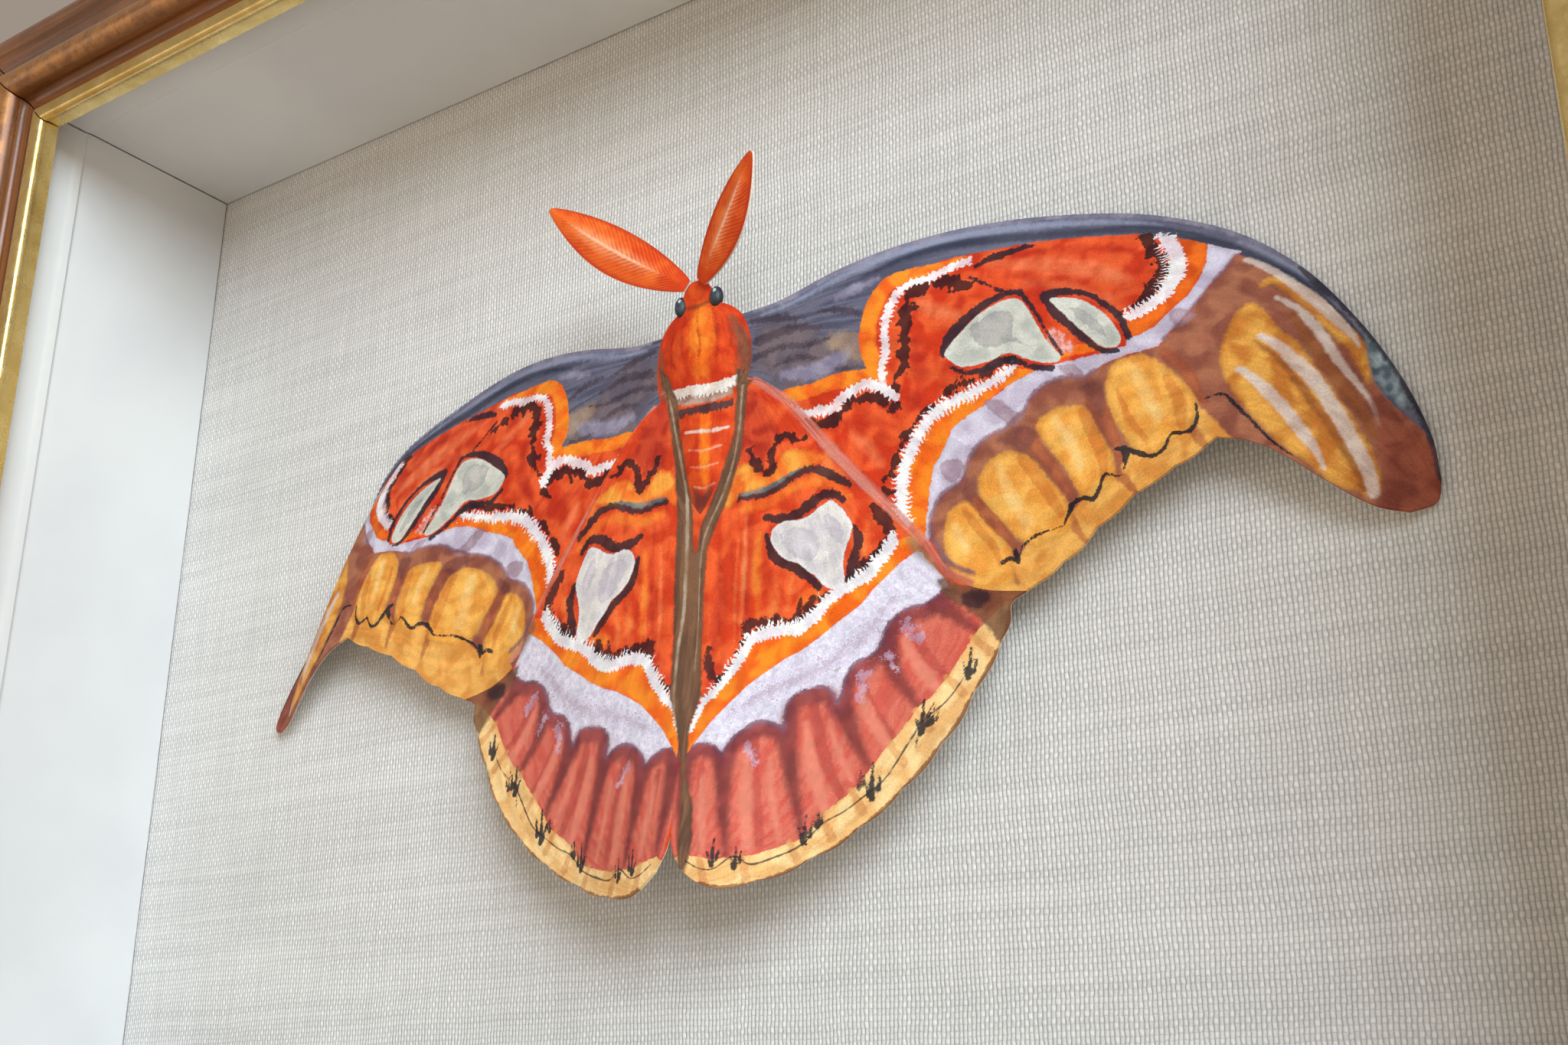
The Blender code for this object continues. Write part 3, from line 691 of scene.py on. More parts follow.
def reckon(material, operation, first, second=0.0, third=0.0):
    inputs = {0: first, 1: second, 2: third}
    return addNode(material, "ShaderNodeMath", inputs, operation=operation).outputs[0]


def remap(material, value, low, high, newLow=0.0, newHigh=1.0, smooth=True):
    inputs = {"Value": value, "From Min": low, "From Max": high, "To Min": newLow, "To Max": newHigh}
    kind = "SMOOTHSTEP" if smooth else "LINEAR"
    return addNode(material, "ShaderNodeMapRange", inputs, interpolation_type=kind).outputs["Result"]


def blendColour(material, share, under, over, way="MIX"):
    inputs = {0: share, 6: under, 7: over}
    return addNode(material, "ShaderNodeMix", inputs, data_type="RGBA", blend_type=way).outputs[2]


def readField(material, name, number=True):
    node = addNode(material, "ShaderNodeAttribute", {}, attribute_type="GEOMETRY", attribute_name=name)
    return node.outputs["Fac" if number else "Vector"]


def noise(material, place, scale, detail, rough, distortion=0.0, kind="3D"):
    inputs = {"Vector": place, "Scale": scale, "Detail": detail, "Roughness": rough, "Distortion": distortion}
    return addNode(material, "ShaderNodeTexNoise", inputs, noise_dimensions=kind).outputs[0]


def stretch(material, place, scale, turn=0.0, move=(0.0, 0.0, 0.0)):
    inputs = {"Vector": place, "Location": move, "Rotation": (0.0, 0.0, math.radians(turn)), "Scale": scale}
    return addNode(material, "ShaderNodeMapping", inputs).outputs[0]


def bump(material, height, distance, strength):
    inputs = {"Height": height, "Distance": distance, "Strength": strength}
    return addNode(material, "ShaderNodeBump", inputs).outputs[0]


def objectPlace(material):
    return addNode(material, "ShaderNodeTexCoord", {}).outputs["Object"]


# Layers of watercolour: each lies over the ones before it where its field is below 0

def washNoises(material):
    # The uneven wash, pigment grain, brush wobble and strokes along the veins, shared by all layers.
    place = readField(material, "flat", number=False)
    strokes = stretch(material, readField(material, "vein", number=False), (1.0, 0.12, 1.0))

    def flat(spot, *settings):
        return noise(material, spot, *settings, kind="2D")

    def centred(value):
        return reckon(material, "MULTIPLY_ADD", value, 2.0, -1.0)

    washes = {
        "wash": flat(place, 0.13, 2.0, 0.5),
        "bloom": flat(stretch(material, place, (1, 1, 1), move=(37.0, 11.0, 5.0)), 0.24, 1.5, 0.4, 0.3),
        "grain": flat(place, 3.1, 2.0, 0.75),
        "wobble": flat(place, 0.85, 2.0, 0.6),
        "blot": flat(stretch(material, place, (1, 1, 1), move=(5.0, 3.0, 9.0)), 0.42, 1.0, 0.5),
        "stroke": flat(strokes, 0.55, 2.0, 0.6),
    }
    for name in ("grain", "wobble", "blot"):
        washes[name + "Swing"] = centred(washes[name])
    return washes


toneSpread = (0.35, 0.65)     # how much of a noise the swing between a wash's two tones takes up
strokeDepth = 0.14            # how far the strokes along the veins lighten and darken


def layer(field, light, deep, wobble, soft=0.12, blot=0.0, fray=0.0, cover=1.0, rim=0.0,
          rimWidth=0.75, rimShade=0.55, tone="bloom", comb=None):
    # light and deep are the two tones of the wash. rim is how far the dried edge differs from deep,
    # which it multiplies by rimShade. comb is the pitch of brush teeth and their left and right lengths.
    return dict(field=field, light=light, deep=deep, soft=soft, wobble=wobble, blot=blot, fray=fray,
                cover=cover, rim=rim, rimWidth=rimWidth, rimShade=rimShade, tone=tone, comb=comb)


def combTeeth(material, distance, length, washes, comb):
    # The field less a triangle wave of the length along, each side with its own teeth.
    pitch, left, right = comb
    where = reckon(material, "MULTIPLY_ADD", washes["wobbleSwing"], 0.8, reckon(material, "ABSOLUTE", length))
    tooth = reckon(material, "MULTIPLY", reckon(material, "PINGPONG", where, pitch / 2), 2 / pitch)
    size = reckon(material, "MULTIPLY_ADD", reckon(material, "GREATER_THAN", length, 0.0), left - right,
                  right)
    size = reckon(material, "MULTIPLY", size, remap(material, washes["blot"], 0.3, 0.7, 0.55, 1.25))
    return reckon(material, "MULTIPLY_ADD", reckon(material, "MULTIPLY", tooth, size), -1.0, distance)


def layWash(material, under, washes, shares, spec, distance, length):
    # Field plus wobble, cut softly at 0; the colour swings between two tones with a noise.
    for kind in ("wobble", "blot", "fray"):
        if spec[kind]:
            swing = washes["grainSwing" if kind == "fray" else kind + "Swing"]
            distance = reckon(material, "MULTIPLY_ADD", swing, spec[kind], distance)
    if spec["comb"]:
        distance = combTeeth(material, distance, length, washes, spec["comb"])
    mask = remap(material, distance, -spec["soft"], spec["soft"], spec["cover"], 0.0)
    tone = spec["tone"]
    if tone not in shares:
        shares[tone] = remap(material, washes[tone], *toneSpread)
    colour = blendColour(material, shares[tone], tint(*spec["light"]), tint(*spec["deep"]))
    if spec["rim"]:
        inner = remap(material, distance, -spec["rimWidth"], -0.1, 0.0, spec["rim"])
        edge = [min(255, spec["rimShade"] * part) for part in spec["deep"]]
        colour = blendColour(material, inner, colour, tint(*edge))
    return blendColour(material, mask, under, colour)


def paintedPaper(name, ground, layers):
    # Layered watercolour on matt paper: white cut edge and back, granulation and paper tooth.
    material = newMaterial(name, 0.78, Specular_IOR_Level=0.15)
    washes, shares = washNoises(material), {}
    light, deep = ground
    colour = blendColour(material, remap(material, washes["bloom"], 0.34, 0.66), tint(*light), tint(*deep))
    places = {}
    for number, field in enumerate(fieldOrder(layers)):
        if number % 3 == 0:
            packed = readField(material, "paint%d" % (number // 3), number=False)
            split = addNode(material, "ShaderNodeSeparateXYZ", {0: packed})
        places[field] = split.outputs[number % 3]
    for spec in layers:
        own = spec["field"]
        colour = layWash(material, colour, washes, shares, spec, places[own], places.get(own + "Comb"))
    uneven = remap(material, washes["wash"], 0.3, 0.7, 0.92, 1.08, smooth=False)
    strokes = remap(material, washes["stroke"], 0.34, 0.66, 1 - strokeDepth / 2, 1 + strokeDepth / 2)
    grained = remap(material, washes["grain"], 0.28, 0.74, 0.88, 1.10)
    # Where one wash dried before the next, a hard edge with a slight step in tone.
    glazes = reckon(material, "MULTIPLY", remap(material, washes["blot"], 0.47, 0.49, 0.96, 1.02),
                    remap(material, washes["wash"], 0.52, 0.526, 1.03, 0.96))
    shade = reckon(material, "MULTIPLY", reckon(material, "MULTIPLY", uneven, strokes),
                   reckon(material, "MULTIPLY", grained, glazes))
    shadeColour = addNode(material, "ShaderNodeCombineXYZ", {0: shade, 1: shade, 2: shade}).outputs[0]
    colour = blendColour(material, 1.0, colour, shadeColour, "MULTIPLY")
    bare = remap(material, readField(material, "painted"), 0.02, 0.3)
    edge = blendColour(material, remap(material, washes["bloom"], 0.3, 0.7), tint(232, 222, 206),
                       tint(216, 202, 184))
    plug(material, "Base Color", blendColour(material, bare, edge, colour))
    plug(material, "Normal", bump(material, washes["grain"], 0.00012, 0.5))
    plug(material, "Roughness", remap(material, washes["bloom"], 0.3, 0.7, 0.7, 0.86))
    return {"material": material, "layers": layers}


# Forewing: its markings, in millimetres on the flat sheet

costaBorder = [(29.1, 37.7), (32.2, 39.4), (36.7, 40.9), (41.6, 41.8), (46.4, 42.3), (51.1, 40.2), (58.1, 40),
               (65, 39.7), (71.7, 38.8), (76.2, 37.8), (80.5, 37), (84.8, 35.2), (89.3, 33.1), (92.5, 31.8),
               (95.8, 29.6), (98.6, 27.2), (102, 24.3), (105.3, 20.6), (108.5, 16.7), (110.6, 13.9),
               (112, 11.9), (112.6, 8.6), (113.4, 5.1), (115, 1.3), (117.4, -1.7), (119.6, -4.6),
               (120.6, -7.4)]
innerArc = [(51.8, 39.5), (46.6, 38.9), (41.7, 38.7), (38.3, 38.1), (36.1, 35.9), (34.7, 32.6), (34.2, 29.2),
            (34.5, 26.2), (35.5, 23.5), (36.3, 21.3)]
basalArc = [(35.6, 22.2), (33.5, 21.9), (30.5, 22.2), (27, 22.4), (22.6, 21.9), (19, 22.2), (15.4, 22.2),
            (12.6, 28.7)]
mainWindow = [(48.6, 22.4), (49.9, 24), (51.9, 25.6), (54.4, 27.4), (56.8, 28.5), (59.1, 29.1), (61, 29.1),
              (62.4, 28.2), (63.8, 25.9), (65.1, 23.2), (66.3, 20.6), (68, 18.1), (68.7, 16.8), (67.9, 16.2),
              (66.1, 16.5), (64.3, 17.2), (62.5, 18.2), (60.7, 19.4), (58.8, 19.7), (56.9, 19.2),
              (54.5, 19.1), (52.1, 19.2), (50.2, 20.1), (49, 21.4)]
smallWindow = [(67.3, 27.2), (69.3, 27), (72, 26), (74.2, 24.4), (76.4, 22.2), (77.8, 20), (78.7, 17.7),
               (78.2, 16.5), (76.9, 16.4), (75.2, 17.2), (73.5, 19.2), (71.4, 21.6), (69.7, 23.9), (68, 26)]
whiteBand = [(60.6, 17), (58.3, 16.2), (55.8, 15.3), (53.3, 14.6), (50.4, 14.1), (47.9, 13.3), (45.4, 12),
             (44, 10.5), (42.5, 8.7), (41.3, 6.6), (40.2, 4.5), (39.5, 2), (39.2, -0.5), (39.2, -3),
             (39.7, -5.1)]
lilacInner = [(69.2, 15.9), (64.4, 15.6), (61.7, 15), (59.2, 14.1), (57.1, 13.2), (55, 12), (52.9, 11.2),
              (51, 10.4), (48.9, 9.2), (48.2, 7.6), (47, 5.9), (45.5, 4), (44.8, 2), (44.2, -0.5),
              (43.5, -3.4), (43.1, -5.9), (42.6, -8.4)]
lilacOuter = [(84.6, 14.7), (81.1, 14.7), (79.2, 14.5), (75.8, 14.1), (74.2, 13.3), (72.1, 12.6), (70, 13.3),
              (67.5, 13.3), (65, 12.6), (63.3, 11.6), (61.7, 9.5), (60, 8.6), (58.3, 7.4), (55.8, 6.9),
              (53.8, 6), (52.1, 4.5), (51, 2.8), (50.4, 1.2), (49.6, 0.3), (47.9, -0.3), (46, -1.3),
              (44.8, -3), (44, -4.9), (43.9, -7.6)]
lilacTop = [(95.6, 29.4), (94.4, 26.9), (93, 25), (91.6, 22.7), (89.7, 20), (87.7, 17.6), (85.5, 15.8)]
orangeTop = [(79.6, 17.3), (81.7, 17.4), (84.4, 18.3), (86.9, 20.6), (89.2, 22.6), (90.7, 25.4), (91.5, 28.5),
             (91.4, 32.4)]
lobes = [
    [(46, -9), (46.2, -6.5), (47.3, -4), (49.5, -2.9), (51.4, -3.2), (54, -7.2), (56.6, -10.4), (57.6, -13),
     (57, -17.5), (52, -17.4), (48.5, -15.5), (46.4, -12.5)],
    [(52.7, -0.7), (53.3, 1.2), (55, 2.8), (57.5, 3.7), (60, 3.2), (62, 2), (64, -0.8), (66, -3.6),
     (67.9, -7.2), (67.6, -11), (61.6, -12.4), (58.8, -10.5), (56.7, -8), (54.6, -5.5), (52.9, -3)],
    [(63.6, 6.4), (64.6, 7.8), (66.7, 8.5), (70.4, 8.5), (72.3, 7.4), (73.5, 4.5), (75, 1.2), (76, -1.4),
     (75.6, -5.2), (70.6, -7.4), (69.6, -5.4), (68.3, -2.2), (66.3, 1.2), (64.4, 4.3)],
    [(75.4, 9.3), (76.2, 12), (77.8, 13.9), (81.9, 14), (84.9, 11.8), (87.4, 8.9), (89.4, 6), (89.8, 3),
     (87.6, 0.2), (83.4, -2), (80, -1.6), (78, 1.8), (76.3, 5.2)]]
inkLine = [(55.4, -13.8), (56.7, -13.2), (58.3, -13.8), (59, -12.2), (60.4, -11.1), (62.1, -10.5),
           (64.2, -10.3), (66.7, -9.9), (67.5, -8.8), (68.3, -7.2), (70.4, -6.5), (72.1, -7), (73.3, -5.5),
           (74.4, -3.6), (76.7, -4.4), (77.7, -3), (77.9, -0.5), (79.7, -1.3), (82, -2.4), (84, -1.9),
           (85.5, 0.3), (87.2, 0.1), (88.5, 0.2), (89.6, 1.9), (89.6, 4.2)]
hookInk = [(91.2, 4.7), (92.9, 4.9), (94.3, 4.4), (95.9, 2.1), (98.2, -1.1), (100.4, -4.2), (102.9, -6.8)]
tipPatch = [(93.6, 10.1), (93.9, 12.5), (94.8, 15.3), (96.2, 18.1), (97.9, 19.7), (99.5, 18.5), (101.8, 14.7),
            (102.8, 13.3), (104, 12.3), (106.5, 7.3), (108.8, 3), (111.1, -2.4), (113.2, -7.6),
            (113.7, -12.1), (112.6, -14.3), (110.3, -13), (107.4, -11.3), (104.5, -7.9), (101.4, -4.8),
            (98.3, -0.4), (95.7, 3.7), (94.2, 7.2)]

forewingMarks = {
    "slate": [patch([(8, 41), (17, 43), (27, 46), (38, 48), (50, 49), (62, 48.5), (74, 46.5), (86, 42.5),
                     (98, 36), (108, 27), (116, 16), (122, 4), (125, -8)]
                    + costaBorder[5:][::-1]
                    + [(50, 40.4), (46.6, 39.9), (41.7, 39.7), (37.8, 38.9), (35.4, 36.3), (33.9, 32.6),
                       (33.4, 29.2), (33.8, 26.2), (35.5, 22.5), (33.5, 21.9), (30.5, 22.2), (27, 22.4),
                       (22.6, 21.9), (19, 22.2), (15.4, 22.2), (13, 26), (10, 27.5), (8, 29)],
                    rounded=False)],
    "costaPale": [band([(13, 38.6), (20, 39.6), (29, 41.9), (38, 43.7), (50, 44.6), (62, 43.8), (74, 41.6),
                        (84, 38.1)], [0.3, 0.6, 0.9, 0.8, 0.8, 0.5, 0.2]),
                  band([(96, 32), (101, 28.2), (106, 22.6), (110, 17)], [0.2, 0.5, 0.4, 0.1])],
    "tipEdge": [band(costa[9:], [0.2, 0.6, 0.5, 0.7, 0.4]),
                band([(104.6, 25.6), (107.2, 22), (109.6, 18.6)], [0.2, 0.9, 0.2])],
    "costaEdge": [band([(12, 40.6)] + costa[1:-2], 0.9)],
    "costaDark": [band([(33, 40.6), (41.6, 42.5), (51.1, 42.9), (65, 40.9), (80.5, 38), (92.5, 32.6),
                        (102, 25.2), (108.5, 18), (112.8, 11.6)], [0.3, 0.7, 0.9, 0.8, 1.0, 0.7, 0.9, 0.6])],
    "baseStrokes": [band([(11, 38), (16, 37.4), (22, 36)], [0.5, 0.8, 0.2]),
                    band([(12, 34), (19, 34.6), (25, 33.2)], [0.9, 0.8, 0.3]),
                    band([(11, 31), (17, 31.6), (23, 30.6), (28, 31)], [0.7, 0.5, 0.6, 0.1]),
                    band([(15, 28.4), (20, 28.8), (25, 27.4)], [0.2, 0.7, 0.2]),
                    band([(24, 36.4), (29, 35.6), (33, 33.6)], [0.2, 0.7, 0.4]),
                    band([(27, 25), (30, 24.2), (33, 24)], [0.1, 0.5, 0.2])],
    "baseLilac": [band([(17, 26.4), (23, 25.4), (29, 26.6), (32, 28.6)], [0.6, 1.4, 1.6, 0.6]),
                  band([(28, 38), (33, 39), (36, 39.6)], [0.4, 0.8, 0.3])],
    "browned": [patch([(11.5, 36), (16, 37), (20, 35.5), (25, 32), (31, 29), (34.5, 28), (34.5, 24), (30, 23),
                       (24, 22.5), (17, 23), (14, 27), (11, 30)])],
    "tan": [patch([(26.5, 31.5), (30.5, 31), (33.8, 29.5), (34, 26), (31.5, 25.5), (29.5, 27.5),
                   (26.5, 29)])],
    "outerGround": [patch([(97.5, 30)] + lilacTop[:-1] + lilacOuter
                          + [(44.6, -9.8), (45.2, -12.4), (47, -19), (59, -25), (70, -21), (80, -14),
                             (95, -8), (110, -22), (127, -22), (124, -8)] + costaBorder[:13:-1],
                          rounded=False)],
    "marginAmber": [patch([(54, -13.3)] + inkLine[::2]
                          + [(92, 1.2), (95, -3), (90, -8), (80, -14), (70, -22), (60, -27), (48, -19)],
                          rounded=False)],
    "lobes": [patch(points) for points in lobes],
    "lilac": [patch(lilacInner + lilacOuter[::-1] + [(80, 16.2), (75, 15.8)], rounded=False),
              patch([(96.6, 29.8)] + lilacTop + [(84.6, 14.7), (79.3, 15.4)] + orangeTop + [(93, 31.6)],
                    rounded=False)],
    "lilacVeins": [patch([(55, 12.4), (57.5, 12.4), (60, 10), (61.7, 9), (60, 7.4), (58.3, 8.4)]),
                   patch([(46.2, 3.4), (48.6, 4.4), (50.6, 3), (48.4, 0.4)]),
                   patch([(68, 15.4), (70.6, 15.2), (72.4, 12.8), (70, 13.2)]),
                   patch([(86.4, 20.2), (88.4, 20.4), (90.4, 18.6), (87.6, 17.2)])],
    "mauveLine": [band(lilacOuter[4:] + [(44.8, -9.6), (47, -12.6), (50.6, -14.6)], 0.42),
                  band(lilacTop, 0.25)],
    "whiteBand": [band(whiteBand, [0.2, 0.4, 0.6, 0.7, 0.5])],
    "lobeGaps": [band([(50.9, -1.6), (53.4, -5.2), (55.8, -8.4), (58, -11.6)], [0.8, 1.0, 1.0, 0.4]),
                 band([(61.6, 5.5), (63.4, 3), (65.4, 0), (67.2, -3.2), (68.9, -6.4)],
                      [1.4, 1.0, 0.9, 0.9, 0.4]),
                 band([(73.6, 9), (75.2, 5), (76.4, 1.5), (77.2, -2)], [1.6, 1.2, 1.0, 0.6]),
                 band([(91, 4), (88.6, 9.5), (85.4, 13.4)], [0.5, 1.0, 0.9])],
    "lobeCaps": [patch([(56.6, 6), (59, 7), (61.6, 7.2), (63.4, 5.6), (62.4, 3.4), (60.6, 2.8), (59, 4.2)]),
                 patch([(71.6, 11), (74.6, 11.6), (75.6, 8.4), (74.8, 5.4), (73.4, 7.4)]),
                 patch([(51.8, 0.8), (52.4, -1.4), (51, -3.2), (49.6, -1.4)])],
    "lobeStripes": [band([(60.4, 2.2), (62.8, -1.4), (64.8, -4.8), (66.4, -8)], [0.7, 1.0, 1.0, 0.7]),
                    band([(71.4, 7.4), (73, 3), (74.2, -0.5), (74.2, -4)], [0.6, 1.0, 1.0, 0.6]),
                    band([(49.8, -4), (52, -7.6), (54.4, -11), (55.4, -14)], [0.5, 0.8, 0.7, 0.4]),
                    band([(85.4, 9.4), (87, 5.4), (87.2, 1.4)], [0.6, 1.1, 0.8]),
                    band([(77.4, 9.4), (79, 4.4), (81.4, 0.4)], [0.3, 0.7, 0.5])],
    "lobeGlow": [band([(56.5, 1.4), (58, -3.5), (60.6, -8.6)], [0.6, 1.0, 0.8]),
                 band([(67, 6.8), (69, 3), (70.4, -1.4)], [0.6, 1.0, 0.7]),
                 band([(80.6, 12), (82, 7.6), (83.6, 3.4)], [0.8, 1.1, 0.8]),
                 band([(48, -6.4), (49.6, -10.6)], 0.6)],
    "marginGaps": [band([(56.2, -13.6), (58, -17.4)], [0.9, 0.4]),
                   band([(67.6, -8.8), (70.4, -13.6)], [0.9, 0.4]),
                   band([(76.6, -4), (79.4, -7.8)], [0.9, 0.4]), band([(88.6, 0.6), (90.6, -3)], [1.0, 0.5])],
    "orangeBand": [patch(whiteBand + [(41, -7.6)] + lilacInner[::-1][:-1], rounded=False),
                   band([(68.9, 17.5), (71.6, 17.4), (74.3, 17.2)], 0.8)],
    "blackBand": [band([(61, 18.8), (57.5, 18.3), (54.7, 17.0), (51.5, 16.8), (49, 16.1), (46.2, 14.6),
                        (43.6, 13), (41.6, 11), (39.8, 8.6), (38.3, 6.2), (37, 3.4), (36.4, 0.8),
                        (36.3, -2.8)], 0.3, teeth=1.3, pitch=2.6)],
    "topWhite": [band([(85.4, 34.6), (87.1, 30.9), (87.4, 28), (86.7, 25.4), (85.2, 23.2), (83.1, 21.7),
                       (80.6, 20.6)], [0.8, 0.9, 0.9, 0.7, 0.4])],
    "topOrange": [patch([(86.5, 34.9), (88.4, 30.8), (89, 27.9), (88, 25.4), (86.4, 23.2), (84.4, 21.2),
                         (81.5, 20.2), (79.3, 19.4)] + orangeTop + [(89, 33.6)], rounded=False)],
    "topBlotch": [band([(81.9, 35.7), (83.2, 33.1), (84.2, 30.6), (85, 28.2), (84.7, 26.2), (83.1, 25),
                        (82.8, 23), (80.9, 22.4), (79, 21.8)], [1.0, 0.8, 1.0, 0.7, 0.7], teeth=1.0,
                       pitch=2.4)],
    "arcOrange": [band(innerArc, [0.6, 1.2, 1.6, 1.7, 1.4]),
                  band(basalArc[:-1] + [(13.4, 25)], [1.3, 1.5, 1.3, 1.3, 0.5])],
    "arcWhite": [band([(52.3, 38.8), (49, 38.3), (45.7, 37.3), (42.3, 37.1), (39.9, 35.9), (38.4, 33.7),
                       (37.7, 31.4), (37.4, 28.4), (37.6, 25.4), (36.8, 23.1), (36.8, 20.7)],
                      [0.5, 0.4, 0.5, 0.4]),
                 band([(39.2, 17), (36.8, 19.1), (33.9, 20.6), (31.3, 20), (28.7, 19), (27.4, 17.7),
                       (24.4, 18), (21.3, 18.2), (13.6, 22.7), (11.2, 25.7)], [0.5, 0.6, 0.4, 0.6])],
    "arcBlack": [band([(53.2, 33.9), (50.3, 34.7), (47.3, 35.8), (43.4, 35.5), (41.7, 33.4), (41.5, 30.9),
                       (41.1, 29.5), (41.2, 27.2), (40.9, 22.9), (39.2, 18.2)], [0.5, 0.8, 0.9, 0.6, 0.4],
                      teeth=1.1, pitch=2.5, rightTeeth=0.7),
                 band([(39.5, 15), (38.3, 16.6), (35.5, 18.2), (32.5, 18.3), (30.2, 18.3), (29.1, 16.9),
                       (27.4, 15.8), (23.9, 16.3), (19.9, 17.5), (16.3, 19.9), (13.6, 22)],
                      [0.6, 0.9, 0.6, 0.3], teeth=1.0, pitch=2.2)],
    "costaDash": [band([(53.9, 37.2), (55.7, 38.1), (58.4, 38.5), (61.1, 39), (64.2, 39.1)],
                       [0.4, 0.8, 0.6, 0.2], teeth=0.3, pitch=1.2),
                  band([(53.1, 35.3), (57.1, 32.3), (60.1, 30.2)], [0.4, 0.25, 0.3])],
    "windowOutline": [patch(mainWindow), patch(smallWindow)],
    "windowShade": [band([(48.4, 22.6), (49.4, 24.7), (51.5, 26.6), (54.2, 28.4), (57, 29.6), (60, 30.3),
                          (62, 30)], [0.9, 1.1, 0.9, 0.7, 0.4]),
                    band([(49.5, 19.8), (52, 18.2), (55, 17.9), (58, 18.6), (60.5, 18.3), (63.5, 16.6),
                          (67, 15.3)], [0.3, 0.5, 0.8, 0.4, 0.6]),
                    band([(62, 30.2), (64.6, 26), (66.6, 21.6), (68.9, 17.2)], [0.5, 0.3, 0.25, 0.3]),
                    band([(66.6, 28), (68.4, 24.6), (70.8, 21.6), (73, 18.8), (75.6, 16.3), (78, 15.6)],
                         [1.0, 0.9, 0.6, 0.4]),
                    band([(67, 28.2), (70, 27.9), (73.4, 26.6), (76.4, 24), (79, 20.6), (79.8, 17.4)],
                         [0.9, 0.4, 0.5, 0.6])],
    "taupe": [patch([(53.8, 23.7), (53.1, 25.8), (55.3, 26.7), (57.7, 27.5), (60.1, 26.9), (61, 25.2),
                     (60.8, 22.4), (63.5, 19.9), (65.3, 18.6), (60.8, 21.5), (57.9, 21.3), (55.1, 22.2)]),
              patch([(70.5, 25), (73.4, 23.4), (75.6, 20.6), (76.4, 18.4), (74.6, 19.8), (72, 22.6)])],
    "pinkMiddle": [patch([(66.4, 21.6), (68.2, 21.4), (70.6, 19), (71, 17.6), (69, 17.2), (67.4, 19.2)])],
    "tipAmber": [patch(tipPatch),
                 band([(99.5, 22.9), (101.4, 23.4), (104, 21.2), (106.9, 17.7), (109.7, 13.5), (111.8, 10.3),
                       (112.6, 6.8), (113.2, 4.3)], [0.6, 1.3, 1.5, 1.3, 0.5])],
    "tipStreaks": [band([(96.3, 8.3), (97.3, 7.5), (99.3, 5), (101.8, 1.4), (104.2, -2.9), (105.9, -6.2),
                         (106.9, -9.4)], [0.5, 0.9, 0.9, 0.8, 0.2]),
                   band([(99.5, 13.3), (101.5, 11.7), (104, 8.4), (106.4, 4.8), (108.7, -0.2), (110.6, -5.1),
                         (112.1, -9.5), (112.7, -13.6)], [0.6, 1.1, 1.0, 1.0, 0.8]),
                   band([(101.5, 20.1), (104.1, 18), (106.9, 13.7), (109.3, 8.3), (111.6, 4), (113.3, 0.6),
                         (114.2, -3)], [0.3, 0.7, 0.7, 0.4, 0.2]),
                   band([(97.2, 28.1), (100.3, 25.9), (103.7, 22.4), (106.9, 18.7), (109.4, 15.3),
                         (111.5, 12.1), (112.1, 10.3)], [0.5, 0.6, 0.9, 0.9, 0.3])],
    "tipVeins": [band([(98.8, 12.5), (102, 8.7), (105.1, 3), (108, -2.6), (110.6, -9.3), (111.6, -12.8)],
                      [0.3, 0.6, 0.7, 0.5]),
                 band([(103.6, 16.6), (106, 11.6), (109, 5.6), (111.6, 0.4), (113.4, -5)],
                      [0.5, 1.0, 0.9, 0.5])],
    "tipRed": [patch([(113.2, 4.7), (114.2, 1.4), (116.5, -2), (119.2, -5.2), (122, -8.6), (123, -12.2),
                      (121, -18), (116.1, -19), (112.8, -15.6), (113.9, -12.1), (113.8, -6.5)])],
    "tipBlue": [patch([(112.6, 14.4), (113.9, 13.6), (115.4, 11), (116.8, 7.5), (118, 3), (118.7, -0.6),
                       (117.9, -1.2), (116, 0.5), (114, 3.8), (113.3, 7.7), (113.4, 10.8)])],
    "ink": [band(inkLine, [0.3, 0.2, 0.3, 0.12, 0.2, 0.4, 0.35, 0.2, 0.15, 0.45, 0.3, 0.25, 0.35, 0.2]),
            band(hookInk, [0.12, 0.3, 0.2, 0.12]),
            band([(76.6, 0), (78, -0.6), (77.9, -2.4)], [0.3, 0.7, 0.4]),
            band([(67.2, -9.2), (68.4, -7.2)], [0.3, 0.55]), band([(55.6, -13.7), (56.4, -13.4)], 0.4),
            band([(58, -12.4), (58.4, -14.2)], [0.5, 0.4])],
    "redLights": [band([(56, 37), (64, 34.8), (73, 31.6), (80, 27.6)], [0.3, 1.3, 1.6, 0.8]),
                  band([(63, 31.6), (70, 28.8), (77, 24.6)], [0.3, 0.8, 0.5]),
                  band([(44, 33), (48, 30), (51, 28.6)], [0.8, 1.2, 0.5]),
                  band([(31, 12), (34, 9), (36, 6)], [0.4, 1.0, 0.4]),
                  band([(21, 14), (26, 8), (31, 1)], [0.3, 0.9, 0.4])],
    "redDarks": [band([(60, 38), (70, 36.6), (79, 34)], [0.4, 1.0, 0.5]),
                 band([(43, 26), (44, 20), (42.6, 14.6)], [0.6, 1.6, 0.7]),
                 band([(66, 27), (65, 31), (60, 34)], [0.6, 0.9, 0.3]),
                 band([(30, 14.6), (36, 13), (40, 11.6)], [0.4, 0.9, 0.4])],
    "dorsumLine": [band([(11.2, 27), (18.1, 21.4), (22.6, 15.8), (26.8, 10.6), (30.9, 5.5), (34.7, 1.2),
                         (37.6, -2.3), (40.1, -5.3), (42.5, -8.2), (45.5, -13.2), (50, -16)],
                        [0.5, 0.8, 1.0, 0.9, 0.6])],
}
